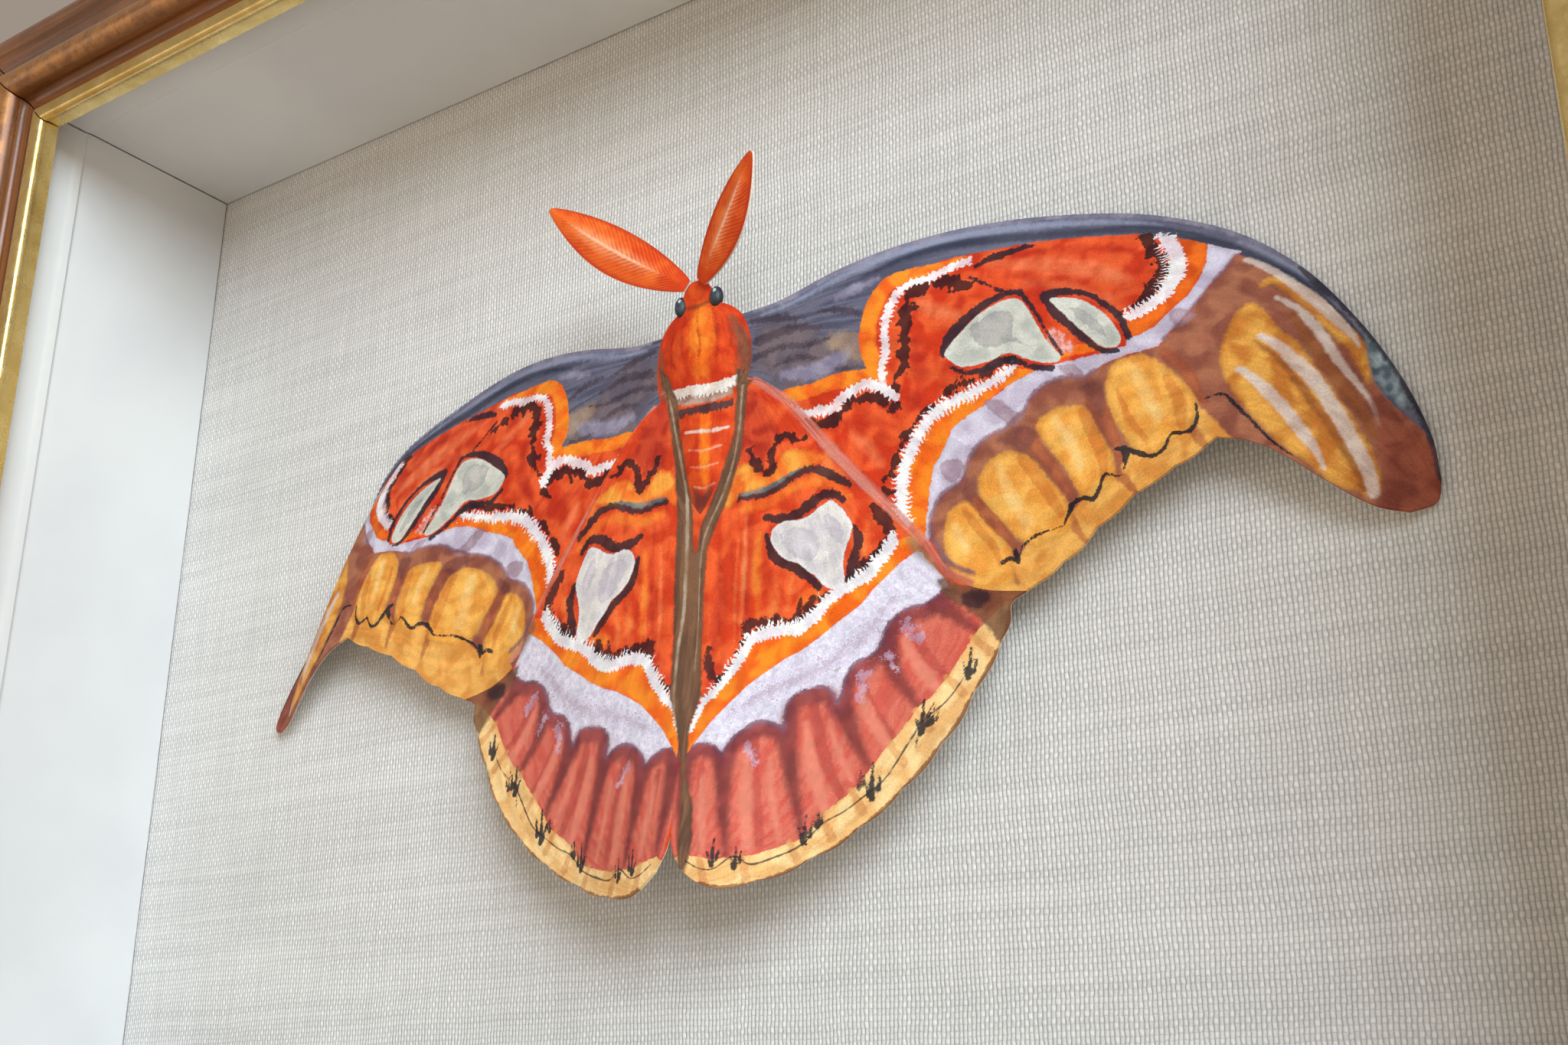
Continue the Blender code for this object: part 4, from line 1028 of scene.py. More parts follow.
forewingLayers = [
    layer("redLights", (244, 132, 88), (236, 112, 68), soft=1.0, wobble=0.5, cover=0.7),
    layer("redDarks", (196, 50, 28), (176, 40, 26), soft=1.1, wobble=0.6, cover=0.7),
    layer("slate", (112, 110, 130), (78, 78, 98), wobble=0.3, tone="stroke"),
    layer("costaPale", (158, 162, 186), (134, 140, 166), soft=0.6, wobble=0.5, cover=0.75, tone="stroke"),
    layer("costaDark", (66, 66, 84), (50, 52, 70), soft=0.5, wobble=0.4, cover=0.85, tone="stroke"),
    layer("costaEdge", (160, 150, 168), (128, 122, 146), soft=0.4, wobble=0.4, cover=0.7),
    layer("browned", (122, 104, 106), (96, 84, 94), soft=1.6, wobble=1.2, cover=0.8),
    layer("baseLilac", (166, 158, 180), (142, 132, 158), soft=0.7, wobble=0.8, cover=0.75),
    layer("tan", (176, 148, 122), (150, 120, 100), soft=0.8, wobble=0.8, cover=0.7),
    layer("baseStrokes", (82, 66, 76), (62, 52, 64), soft=0.3, wobble=0.7, fray=0.5, cover=0.8),
    layer("outerGround", (176, 110, 82), (146, 82, 66), soft=0.15, wobble=0.3),
    layer("marginAmber", (242, 178, 92), (222, 146, 66), soft=0.3, wobble=0.3),
    layer("marginGaps", (190, 112, 66), (170, 94, 56), soft=0.25, wobble=0.4, cover=0.8),
    layer("lobes", (250, 184, 90), (236, 156, 66), soft=0.4, wobble=0.4, rim=0.5, rimWidth=1.4,
          rimShade=0.86),
    layer("lobeGlow", (255, 214, 142), (252, 198, 118), soft=0.7, wobble=0.6, cover=0.75),
    layer("lobeStripes", (226, 142, 62), (210, 122, 52), soft=0.2, wobble=0.4, cover=0.75),
    layer("lobeGaps", (190, 104, 66), (160, 82, 58), soft=0.25, wobble=0.4, cover=0.88, rim=0.2),
    layer("lobeCaps", (132, 76, 68), (110, 60, 56), soft=0.6, wobble=0.5, cover=0.85),
    layer("tipAmber", (240, 172, 78), (206, 124, 50), soft=0.3, wobble=0.4, rim=0.25),
    layer("tipVeins", (168, 100, 52), (150, 84, 44), soft=0.4, wobble=0.3, cover=0.75, rim=0.1),
    layer("tipStreaks", (230, 211, 203), (210, 184, 172), soft=0.3, wobble=0.3, cover=0.88),
    layer("tipRed", (166, 88, 66), (134, 66, 52), soft=0.9, wobble=0.6, cover=0.92, rim=0.1),
    layer("tipBlue", (172, 188, 200), (92, 110, 124), soft=0.5, wobble=0.4, rim=0.5, rimWidth=1.5,
          rimShade=0.6, tone="blot"),
    layer("tipEdge", (64, 60, 72), (38, 38, 50), soft=0.3, wobble=0.5, cover=0.85),
    layer("orangeBand", (252, 136, 32), (238, 98, 22), wobble=0.3),
    layer("lilac", (220, 212, 230), (196, 182, 204), wobble=0.3, rim=0.12),
    layer("lilacVeins", (172, 140, 154), (152, 118, 132), soft=0.25, wobble=0.4, cover=0.7, rim=0.2),
    layer("mauveLine", (150, 108, 118), (126, 84, 94), soft=0.3, wobble=0.35, cover=0.85),
    layer("blackBand", (62, 36, 34), (40, 24, 28), wobble=0.6, blot=1.5, fray=0.3, cover=0.92),
    layer("whiteBand", (248, 246, 248), (228, 220, 230), soft=0.08, wobble=0.2, cover=0.97,
          comb=(0.85, 1.3, 1.2)),
    layer("topOrange", (244, 112, 28), (218, 80, 18), wobble=0.3, rim=0.1),
    layer("topBlotch", (60, 32, 30), (38, 22, 26), wobble=0.7, blot=1.3, fray=0.3, cover=0.94),
    layer("topWhite", (248, 244, 246), (230, 212, 220), soft=0.08, wobble=0.2, cover=0.96,
          comb=(0.75, 0.7, 1.5)),
    layer("arcOrange", (252, 142, 38), (238, 98, 28), wobble=0.3, rim=0.1),
    layer("arcBlack", (58, 32, 34), (38, 22, 28), wobble=0.7, blot=1.7, fray=0.3, cover=0.92),
    layer("arcWhite", (246, 240, 244), (228, 204, 208), soft=0.1, wobble=0.2, cover=0.95,
          comb=(1.05, 0.9, 0.6)),
    layer("pinkMiddle", (240, 176, 170), (226, 120, 100), soft=0.3, wobble=0.8, fray=0.6, tone="wobble"),
    layer("costaDash", (52, 36, 44), (38, 30, 40), wobble=0.5, fray=0.3, cover=0.95),
    layer("windowShade", (56, 44, 52), (40, 34, 46), wobble=0.4, fray=0.2, cover=0.95),
    layer("windowOutline", (214, 212, 202), (190, 190, 182), wobble=0.2, rim=0.5, rimWidth=0.9,
          rimShade=1.14),
    layer("taupe", (186, 180, 176), (168, 164, 164), wobble=0.5, cover=0.8, rim=0.25, rimShade=0.8),
    layer("dorsumLine", (226, 146, 130), (186, 92, 78), soft=0.3, wobble=0.25, cover=0.8, tone="stroke"),
    layer("ink", (44, 42, 50), (30, 30, 38), soft=0.08, wobble=0.25, fray=0.2, cover=0.95),
]


# Hindwing markings

hindWindow = [(26.6, 1.4), (28.4, -0.2), (29.9, -2.5), (30.3, -3.7), (29.8, -5.5), (29, -7.2), (28.5, -9.4),
              (28.6, -13.2), (27.4, -13.9), (25.9, -13.6), (24.7, -12.8), (23.5, -11.3), (21.8, -9.9),
              (20.2, -8.4), (18.1, -7.5), (16.4, -6.1), (15.1, -4.1), (14.8, -2.5), (15.7, -1.1),
              (17.7, -0.5), (20.3, -0.8), (22.4, -0.4), (24.5, 0.7)]
hindWhite = [(0.6, -35), (1.9, -33.1), (3, -30.2), (5.6, -28), (8.2, -25), (10, -22.4), (11.4, -20.3),
             (14, -19.5), (17.2, -19.5), (20.4, -19.6), (23.2, -18), (25.2, -16), (27.5, -14.6),
             (30.5, -13.3), (33, -12.2), (34.6, -10.4), (36.2, -8.8), (37.3, -7.4)]
hindLilacInner = [(1, -39), (2.1, -37.3), (5.1, -33.5), (8.3, -30.6), (11.1, -28.2), (14.4, -26.3),
                  (17.8, -24.5), (20.7, -23.5), (24.6, -21.3), (27.4, -19.4), (31.2, -17.2), (33.5, -14.8),
                  (35.9, -12.9), (38.3, -11), (41.5, -9.3)]
lobeTops = [(1, -38), (3.6, -37.3), (6.3, -38.3), (8, -39.6), (8.8, -38.1), (10.5, -36.4), (13.7, -34.9),
            (16.6, -35.4), (18.5, -36.4), (18.8, -32.8), (20.1, -31.1), (22.9, -30.3), (25.8, -30.4),
            (27.4, -33), (28.4, -31.6), (29.4, -28.6), (31, -26.8), (33.5, -26), (35, -24.4), (35.8, -22),
            (37.4, -20), (39.6, -18.8), (42, -18.6), (44.4, -17.4), (46.5, -16)]
ochreInner = [(2.4, -55.6), (4, -55.9), (7.6, -56.8), (11.1, -56.7), (14.5, -56.5), (17.4, -55.8),
              (19.9, -55.1), (22.1, -54.4), (24.2, -52.4), (26, -50.5), (29.1, -48.6), (31.8, -46.8),
              (33.6, -44.4), (36.3, -41.3), (38.9, -38.6), (41.5, -35.4), (43.7, -33.9), (45.8, -31.5),
              (48.4, -27.9), (50.1, -25.1), (51.9, -23.3)]
lobeGaps = [[(0.6, -37), (1.2, -40), (1.6, -47), (2.6, -56)],
            [(8.3, -39), (8.6, -43), (9.2, -49), (10.2, -56)],
            [(18.8, -34), (19.2, -38.5), (20.6, -46), (22.4, -54)],
            [(28, -32), (29, -35), (31.2, -40), (33.8, -45)],
            [(35.9, -23), (37, -28.5), (39.3, -32.4), (41.6, -35.6)],
            [(44, -18), (46.2, -20), (49, -22.4), (51, -24)]]
inkMarks = [(8.2, -56, 1.0), (11.9, -56.8, 0.9), (22.9, -53.2, 1.1), (25, -51.6, 0.8), (34.2, -46.6, 1.4),
            (32, -46.2, 0.7), (42.4, -37.2, 1.3), (44.2, -37, 0.8), (50, -29.6, 1.2)]
thinLine = [(3.4, -56.7), (5.9, -58.1), (8.4, -58.3), (11.5, -56.5), (14.1, -57.9), (17.4, -57.2),
            (22.1, -55.4), (25.6, -52.3), (29.2, -50.7), (32.8, -48.5), (36.4, -46), (39.9, -41.2),
            (42.5, -37.7), (46, -35.1), (48.6, -31.9), (50.2, -27.7)]
stripBand = [(11.2, 27.4), (9.8, 25.7), (9, 17.6), (8.6, 13.6), (5.9, 6.1), (1.6, -2.2), (1.1, -10.8),
             (1.2, -20.3), (1.7, -24), (2.3, -28.9), (0.8, -34.3), (1.6, -42.8), (3.8, -47.5), (4.4, -55),
             (3.4, -58.6), (2, -57.9), (1.8, -51.8), (0.9, -42.7), (-1.9, -34), (-4.6, -27.7), (-5.4, -13),
             (-5.3, -3.7), (-5.1, 4.3), (-5.9, 14.4), (-8.3, 28.1), (-10.2, 34.6), (-7.6, 32.1), (-5.8, 27.5),
             (-2.6, 13.3), (-1.6, 3.6), (-1.2, -2.4), (-0.6, -2.4), (-0.1, 1.3), (3.5, 8.6), (7.1, 18),
             (7.4, 26.3), (7.1, 30.5)]
rightStrip = [(8.9, 29), (8.6, 25.8), (8.0, 18), (6.6, 11.5), (4.6, 6.6), (1.6, 1.3), (0.4, -3), (0.0, -11),
              (0.1, -24), (0.3, -30), (-0.4, -35), (0.8, -43), (2.9, -49), (3.2, -57)]
paleStroke = [(-7.6, 27.6), (-5.4, 20), (-3.4, 12), (-2.8, 1.8), (-3.1, -12.1), (-3.9, -19.4), (-3.6, -28),
              (-2.4, -33)]


# Each row is a place on the left wing, then the place on the right wing whose paint it has.
leftMoves = [(48.5, -6.5, 51.5, -9.5), (62.5, 0.5, 60.5, -4), (73, 5, 70, 1.5), (67, -4.5, 66.7, -9.9),
             (52, -10.5, 55.4, -13.8), (35.5, 0, 39.2, -0.5), (39, 9, 42.5, 8.7), (47.5, 14.8, 50.4, 14.1),
             (57, 17, 58.3, 16.2), (50, 22, 48.6, 22.4), (61, 28, 62, 29), (71, 14.5, 68.7, 16.8),
             (33.5, 29, 34.2, 29.2), (37.5, 38, 38.5, 38), (26.5, 19.5, 28.7, 19), (37.5, 25, 36.8, 21)]
leftHindMoves = [(24.5, 4.1, 26.6, 1.4), (28.2, -3.1, 30.3, -3.7), (20.5, 1.4, 20.3, -0.8),
                 (14.9, -2.2, 14.8, -2.5), (28.7, -13.6, 28.6, -13.2), (12, 9, 12.8, 5.2),
                 (20, 10, 20.8, 7.6), (13, 18, 13, 15), (10, -20, 10, -20), (34, -12, 33, -12)]


def mirrored(points):
    return [(-x, z) for x, z in points]


def inkTuft(x, z, size=1.0):
    # Two tall strokes side by side, joined low down, with a spur.
    return [band([(x + a * size, z + b * size), (x + c * size, z + d * size)], [size * e, size * f])
            for a, b, c, d, e, f in [(0, 2.4, -0.2, -1.8, 0.12, 0.42), (-1.1, 0.5, -0.5, -1.4, 0.1, 0.32),
                                     (0.9, 1.2, 0.6, -0.9, 0.1, 0.34), (-0.6, -1.2, 0.8, -0.6, 0.2, 0.12)]]


hindwingMarks = {
    "baseShade": [patch([(8, 26), (12, 24), (15, 18), (19, 13), (16, 15), (13, 11), (9, 12), (7.5, 19)])],
    "lilac": [patch(hindLilacInner + lobeTops[::-1], rounded=False)],
    "lobeGround": [patch(lobeTops + [(53, -22)] + ochreInner[::-1] + [(1.2, -56), (-1, -45)], rounded=False)],
    "lobeTops": [band([(x + 0.3, z - 1.2) for x, z in lobeTops], [1.1, 1.3, 1.2, 1.4, 1.1, 1.3, 1.2])],
    "lobeCrests": [band(lobeTops, [0.3, 0.45, 0.3, 0.5, 0.3])],
    "mottle": [band([(8, -33.4), (13, -30.6), (18, -29), (24, -27), (29, -24.6), (33, -21.4), (37, -17)],
                    [0.2, 0.6, 0.9, 0.7, 0.9, 0.4])],
    "lobeGaps": [band(points, [2.0, 1.5, 1.0, 0.5]) for points in lobeGaps],
    "lobeLights": [band([(4.9, -43), (5.4, -49), (6.2, -55)], [0.4, 0.9, 0.5]),
                   band([(12.4, -40), (12.8, -47), (13.6, -55)], [0.5, 1.2, 0.8]),
                   band([(16.4, -41), (17.2, -48), (18.6, -54)], [0.3, 0.6, 0.4]),
                   band([(22.2, -36), (23.6, -43), (26, -50)], [0.5, 1.3, 0.8]),
                   band([(26.4, -36), (28, -41), (30.6, -46)], [0.3, 0.6, 0.4]),
                   band([(31.4, -31), (33.4, -36), (36.6, -41)], [0.5, 1.1, 0.8]),
                   band([(38.6, -24), (41.6, -29), (44.8, -33)], [0.5, 1.1, 0.8])],
    "ochreStripes": [band([(x, z), (x + 0.6 + 0.05 * x, z - 4.4 + 0.03 * x)], [0.5, 0.8]) for x, z in
                     [(6, -56.5), (12.6, -56.6), (20.4, -54.8), (25.4, -51), (30.4, -47.4), (36.8, -40.6),
                      (41, -35.8), (46, -31), (50.2, -25)]],
    "lobeShades": [band([(4.3, -41), (5, -47), (6, -55)], [0.6, 0.9, 0.5]),
                   band([(13.4, -37), (14, -45), (15.6, -55)], [0.9, 1.2, 0.7]),
                   band([(23.6, -33), (25.4, -41), (28.6, -48)], [0.8, 1.2, 0.7]),
                   band([(31.4, -29), (33.6, -35), (37.6, -40)], [0.7, 1.0, 0.6]),
                   band([(39.6, -21), (42.4, -27), (46.4, -31)], [0.7, 1.0, 0.6])],
    "ochre": [patch(ochreInner + [(56, -20), (62, -22), (58, -34), (50, -46), (38, -58), (20, -66), (4, -66),
                                  (-2, -58)], rounded=False)],
    "lilacFlecks": [band([(32, -29), (31.4, -33)], [1.0, 0.5]), band([(39, -21.6), (41.4, -24)], 0.8),
                    band([(36, -26), (37.6, -29)], [0.6, 0.3]), band([(12.4, -39), (14.4, -42)], [0.7, 0.2])],
    "orangePatch": [patch([(4.4, 5.6), (6.5, 9.4), (8.1, 11.2), (10, 11.4), (13.2, 8.5), (15.5, 9.6),
                           (17.7, 11.9), (20.4, 11.8), (23.8, 10.6), (25.5, 9.1), (22.5, 8.1), (19, 7.3),
                           (15.5, 6.4), (11.9, 6.2), (8.7, 5.9), (6.4, 4.3)])],
    "orangeUnder": [band([(9, 3.4), (14, 3.4), (18, 4.6), (22, 5.6), (26, 4.6), (30, 1.6)],
                         [0.6, 1.0, 0.8, 0.9, 0.5]),
                    band([(12.5, -2), (12, -8), (12.5, -16)], [0.5, 0.9, 0.4]),
                    patch([(21, -13.4), (23.6, -13), (25, -14.6), (22.6, -15.6), (19.6, -15.4)])],
    "baseLine": [band([(8.2, 5.2), (9.1, 5.4), (12.8, 5.2), (15.5, 5.6), (18.1, 6.7), (20.8, 7.6),
                       (23.4, 7.5), (25.1, 6.9), (27.6, 5.2), (30, 3.6)], [0.5, 0.7, 0.8, 0.6, 0.8, 0.5],
                      teeth=0.3, pitch=2.1)],
    "baseTeal": [band([(8.6, 6.0), (12.8, 5.9), (15.5, 6.4), (18.1, 7.5), (20.8, 8.3)],
                      [0.3, 0.4, 0.5, 0.3, 0.1])],
    "zigzag": [band([(10, 14.1), (11.4, 11.7), (13.7, 8.8), (15, 9.9), (15.5, 13.2), (17.7, 15.2),
                     (19.5, 13.5), (21.2, 13.2)], [0.5, 0.8, 0.5, 0.9, 0.5, 0.7, 0.3], teeth=0.5, pitch=1.7)],
    "windowRing": [band([(13.7, 0.9), (15.9, 0.2), (19, 0), (21.6, 0.9), (23.3, 1.9), (25.4, 2.7),
                         (27.5, 2.3), (28.9, 1.0)], [0.5, 0.9, 0.8, 1.0, 0.7, 0.5], teeth=0.3, pitch=2.0),
                   band([(30.5, -3.7), (31.2, -5.7), (30.7, -8.3), (29.9, -10.4), (30.2, -12.6)],
                        [0.4, 0.9, 0.7, 1.0, 1.2], teeth=0.4, pitch=1.5),
                   band([(14.0, -2.5), (15, -5.6), (16.8, -7.5), (19.8, -9.2), (22.2, -11.2), (24, -13)],
                        [0.5, 0.9, 0.8, 0.9, 0.6]),
                   patch(hindWindow)],
    "hindBlots": [band([(33.8, -0.9), (35.6, -3.1), (37, -5.5)], [0.5, 1.2, 0.8], teeth=0.6, pitch=1.1),
                  band([(31.4, -10.9), (33.4, -10), (35.3, -8.4)], [1.0, 0.8, 0.5], teeth=0.6, pitch=1.0),
                  band([(10.4, -20.6), (10.5, -17.7), (13.1, -17.6), (17.3, -17.4)], [0.9, 0.9, 0.7, 0.4],
                       teeth=0.5, pitch=1.4),
                  band([(20, -17.6), (20.6, -14.4)], [1.0, 0.1]),
                  band([(22, -17.2), (23, -14.6)], [1.1, 0.6]),
                  band([(2.6, -20), (3.4, -25), (5.4, -26.6)], [0.4, 0.9, 0.5], teeth=0.5, pitch=1.3)],
    "window": [patch(hindWindow)],
    "windowWash": [patch([(16.6, -3), (18.6, -2), (21.4, -2.4), (23.4, -4), (24, -7), (22.4, -8.4),
                          (19, -6.6)]),
                   patch([(25.4, -0.6), (27.4, -2), (28.6, -4.4), (28, -6.4), (26.4, -4.8), (25.2, -2.6)])],
    "whiteBand": [band(hindWhite, [0.2, 0.4, 0.6, 0.7, 0.8, 0.6, 0.7, 0.6])],
    "orangeBand": [patch(hindWhite + [(41.8, -6.6)] + hindLilacInner[::-1], rounded=False)],
    "blackTeeth": [band([(x, z + 0.8) for x, z in hindWhite[3:-1]], 0.25, teeth=1.6, pitch=3.1)],
    "groundLights": [band([(16, -9), (15.4, -14), (14.6, -18)], [0.3, 1.0, 0.3]),
                     band([(27, 12), (26, 8), (29, 5)], [0.3, 0.8, 0.2]),
                     band([(33, -3), (32.4, -7), (32, -9)], [0.3, 0.7, 0.2]),
                     band([(19, -10.6), (18.4, -13.6), (18, -16)], [0.2, 0.7, 0.2])],
    "groundDarks": [band([(4.4, -4), (4, -14), (3.4, -24)], [0.3, 1.2, 0.6]),
                    band([(10.6, 2), (10.4, -8), (9.6, -18)], [0.2, 0.7, 0.3]),
                    band([(22, 15.6), (27, 9.6), (32, 3)], [0.4, 1.0, 0.4])],
    "corner": [patch([(44.4, -14.6), (49.3, -16.2), (54.3, -17.4), (60, -17.5), (60, -22), (55.2, -26.4),
                      (52.6, -23.6), (49.6, -20.6), (46, -18)])],
    "cornerBlot": [patch([(48.4, -17.6), (51.4, -17.4), (53.4, -18.6), (51.6, -20.4), (49, -19.8)])],
    "greenish": [patch([(40.6, -6.4), (43.4, -7.6), (46, -11.6), (48.6, -14.2), (46.8, -15), (43, -12),
                        (40, -9)])],
    "thinLine": [band(thinLine, [0.1, 0.16, 0.12, 0.18, 0.1])],
    "tufts": sum([inkTuft(*spot) for spot in inkMarks], []) + [band([(42, -38), (41.2, -42)], [0.35, 0.1])],
    "dorsumLine": [band([(11.2, 26.6), (18.1, 21.1), (22.6, 15.6), (26.8, 10.4), (30.9, 5.3), (34.7, 1.2),
                         (37.6, -2.3), (40.1, -5.3), (42.5, -8.2)], [0.5, 0.8, 1.0, 0.9, 0.6])],
    "edgeLine": [band(hindMargin[1:], [0.4, 0.5, 0.35, 0.45])],
}
sideMarks = {
    1: {"strip": [patch(stripBand, rounded=False)], "stripPale": [band(rightStrip[:9], 0.18)],
        "redStroke": [band([(8.2, -2), (7.6, -12), (8.0, -20)], [0.1, 0.25, 0.1]),
                      band([(9.8, 3), (9.4, -8), (9, -17)], [0.1, 0.5, 0.2])]},
    -1: {"strip": [patch(mirrored(stripBand), rounded=False)],
         "stripPale": [band(mirrored(paleStroke), [0.2, 0.35, 0.35, 0.35, 0.3, 0.1])],
         "redStroke": [band([(8.6, 0), (8.4, -12), (8.6, -18)], [0.1, 0.4, 0.1]),
                       band([(12.4, 0), (12, -9), (11.6, -16)], [0.1, 0.5, 0.2])]},
}
hindwingLayers = [
    layer("groundDarks", (196, 54, 34), (170, 42, 30), soft=0.9, wobble=0.6, cover=0.7),
    layer("groundLights", (244, 136, 70), (234, 104, 50), soft=0.8, wobble=0.6, cover=0.7),
    layer("baseShade", (196, 60, 40), (160, 38, 32), soft=0.9, wobble=0.9, cover=0.7),
    layer("redStroke", (244, 150, 96), (232, 112, 62), soft=0.4, wobble=0.3, cover=0.65),
    layer("lobeGround", (224, 116, 96), (204, 88, 74), soft=0.2, wobble=0.3, tone="stroke"),
    layer("lobeShades", (186, 72, 64), (170, 62, 58), soft=0.35, wobble=0.5, cover=0.6),
    layer("lobeLights", (236, 148, 124), (226, 128, 106), soft=0.6, wobble=0.5, cover=0.75, tone="grain"),
    layer("lobeGaps", (128, 54, 54), (104, 44, 48), soft=0.9, wobble=0.6, cover=0.85),
    layer("lilac", (232, 226, 240), (214, 204, 224), soft=0.2, wobble=0.3, tone="wobble"),
    layer("mottle", (190, 164, 186), (166, 136, 162), soft=0.3, wobble=3.2, fray=1.2, cover=0.55),
    layer("lobeTops", (150, 70, 72), (124, 54, 60), soft=0.9, wobble=0.5, fray=0.2, cover=0.85),
    layer("lobeCrests", (134, 88, 108), (108, 60, 76), soft=0.2, wobble=0.45, fray=0.3, cover=0.85),
    layer("lilacFlecks", (206, 186, 208), (184, 150, 176), soft=0.15, wobble=1.6, fray=1.4, cover=0.65),
    layer("ochre", (252, 212, 150), (238, 182, 116), wobble=0.25, rim=0.1),
    layer("ochreStripes", (228, 164, 102), (210, 142, 84), soft=0.25, wobble=0.4, cover=0.75),
    layer("orangePatch", (252, 164, 66), (240, 112, 40), soft=0.3, wobble=0.5, rim=0.25),
    layer("orangeUnder", (248, 134, 50), (236, 102, 38), soft=0.6, wobble=0.5, cover=0.85),
    layer("baseLine", (66, 52, 56), (44, 36, 42), wobble=0.5, fray=0.3, cover=0.92),
    layer("baseTeal", (138, 146, 140), (92, 104, 108), soft=0.2, wobble=0.4, cover=0.8),
    layer("zigzag", (62, 34, 36), (42, 26, 30), wobble=0.7, blot=0.8, fray=0.3, cover=0.92),
    layer("hindBlots", (60, 34, 36), (40, 24, 30), soft=0.2, wobble=0.7, blot=0.4, fray=0.3, cover=0.9),
    layer("orangeBand", (252, 142, 34), (240, 100, 22), wobble=0.3),
    layer("blackTeeth", (64, 36, 36), (44, 26, 30), wobble=0.6, blot=1.2, fray=0.3, cover=0.85),
    layer("windowRing", (56, 40, 46), (38, 32, 40), wobble=0.45, fray=0.3, cover=0.93),
    layer("window", (232, 224, 220), (212, 204, 206), soft=0.14, wobble=0.25, rim=0.5, rimWidth=0.9,
          rimShade=1.14),
    layer("windowWash", (210, 200, 210), (196, 186, 196), wobble=0.5, cover=0.75, rim=0.2, rimShade=0.85),
    layer("whiteBand", (249, 247, 248), (230, 222, 230), soft=0.08, wobble=0.2, cover=0.97,
          comb=(0.85, 1.5, 0.6)),
    layer("greenish", (146, 128, 96), (120, 98, 80), soft=0.7, wobble=0.7, cover=0.7),
    layer("corner", (128, 84, 58), (98, 64, 50), soft=0.5, wobble=0.7, cover=0.9, rim=0.25),
    layer("cornerBlot", (54, 32, 42), (44, 28, 36), soft=0.5, wobble=0.5, fray=0.4, cover=0.85),
    layer("dorsumLine", (226, 146, 130), (186, 92, 78), soft=0.3, wobble=0.25, cover=0.8, tone="stroke"),
    layer("strip", (138, 98, 72), (100, 70, 54), soft=0.35, wobble=0.35, rim=0.35, tone="stroke"),
    layer("stripPale", (200, 180, 156), (170, 142, 116), soft=0.25, wobble=0.2, cover=0.75),
    layer("edgeLine", (150, 92, 54), (120, 70, 46), soft=0.15, wobble=0.35, cover=0.85),
    layer("thinLine", (60, 46, 44), (50, 40, 42), soft=0.08, wobble=0.12, cover=0.85),
    layer("tufts", (46, 44, 50), (34, 34, 42), soft=0.1, wobble=0.3, fray=0.2, cover=0.95),
]


# Body markings: head, thorax and abdomen

bodyMarks = {
    "thoraxSide": [band([(-9.5, 40), (-9.9, 36), (-9, 31), (-8, 28)], [1.4, 2.6, 2.2, 1.0]),
                   band([(9.5, 40), (9.9, 36), (9, 31), (8, 28)], [1.4, 2.6, 2.2, 1.0])],
    "thoraxGlow": [band([(0.6, 42.5), (1.2, 37), (0.6, 31.5)], [1.2, 2.6, 1.2])],
    "thoraxStreaks": [band([(-2.6, 42), (-3.4, 37), (-3, 32)], [0.15, 0.35, 0.1]),
                      band([(3.4, 42), (4.4, 37), (3.8, 32)], [0.15, 0.4, 0.1]),
                      band([(0.2, 41), (0.8, 36), (0.2, 33)], [0.1, 0.3, 0.1]),
                      band([(-5.6, 40), (-6.4, 36), (-5.6, 33)], [0.1, 0.3, 0.1]),
                      band([(6.2, 40), (7, 36), (6.2, 33)], [0.1, 0.3, 0.1])],
    "thoraxBrown": [band([(8.7, 36.1), (9.8, 31.3), (8.8, 28.8), (9.9, 24.3)], [0.7, 1.2, 0.9, 0.7])],
    "collar": [band([(-8.2, 29.4), (-6.6, 28.7), (-2.8, 28.2), (2, 27.6), (6.1, 27.9), (8.4, 28.6)],
                    [0.4, 0.6, 0.7, 0.7, 0.7, 0.5])],
    "collarShade": [band([(-7.4, 27.4), (-2.8, 26.6), (2, 26), (8, 26.6)], [0.9, 1.2, 1.3, 1.0])],
    "blackCollar": [band([(-6.5, 24.5), (-0.8, 23.7), (3, 23.4), (7, 23.8)], [0.5, 0.7, 0.8, 0.6], teeth=0.8,
                         pitch=1.3, leftTeeth=0.3, rightTeeth=1.0)],
    "abdomenGlow": [band([(1.6, 21.5), (1.5, 15), (1.4, 8)], [1.1, 1.0, 0.5])],
    "bars": [band([(-2.9, 19.8), (2.3, 18.9)], [0.2, 0.4]), band([(3.2, 18.9), (5.8, 19.2)], [0.4, 0.2])],
    "faintBars": [band([(-1.9, 16.2), (1.4, 15.4), (4.6, 16)], [0.1, 0.2, 0.1]),
                  band([(-1.4, 13), (1, 12.4), (3.8, 12.8)], [0.1, 0.15, 0.1]),
                  band([(-0.9, 9.4), (1, 8.8), (3.1, 9.4)], [0.15, 0.25, 0.15])],
    "abdomenEnd": [patch([(-1.4, 9), (0.6, 8), (2.6, 8.8), (2, 4), (0, 2), (-1.6, 4)])],
    "strip": [patch(stripBand, rounded=False)],
    "shoulders": [band([(7, 39.6), (8.6, 35.6), (9.2, 32), (9, 27.6)], [0.5, 1.2, 1.4, 1.4]),
                  band([(-9.4, 37.6), (-9.4, 33), (-8.6, 29)], [0.4, 0.9, 1.1])],
    "stripPale": [band(paleStroke[:4], [0.15, 0.3, 0.35, 0.35])],
    "forehead": [band([(-1.6, 46.8), (0, 45.8), (1.6, 46.8)], [0.5, 0.9, 0.5])],
    "neck": [band([(-3, 43.8), (0, 43.2), (3, 43.8)], [0.3, 0.5, 0.3])],
}
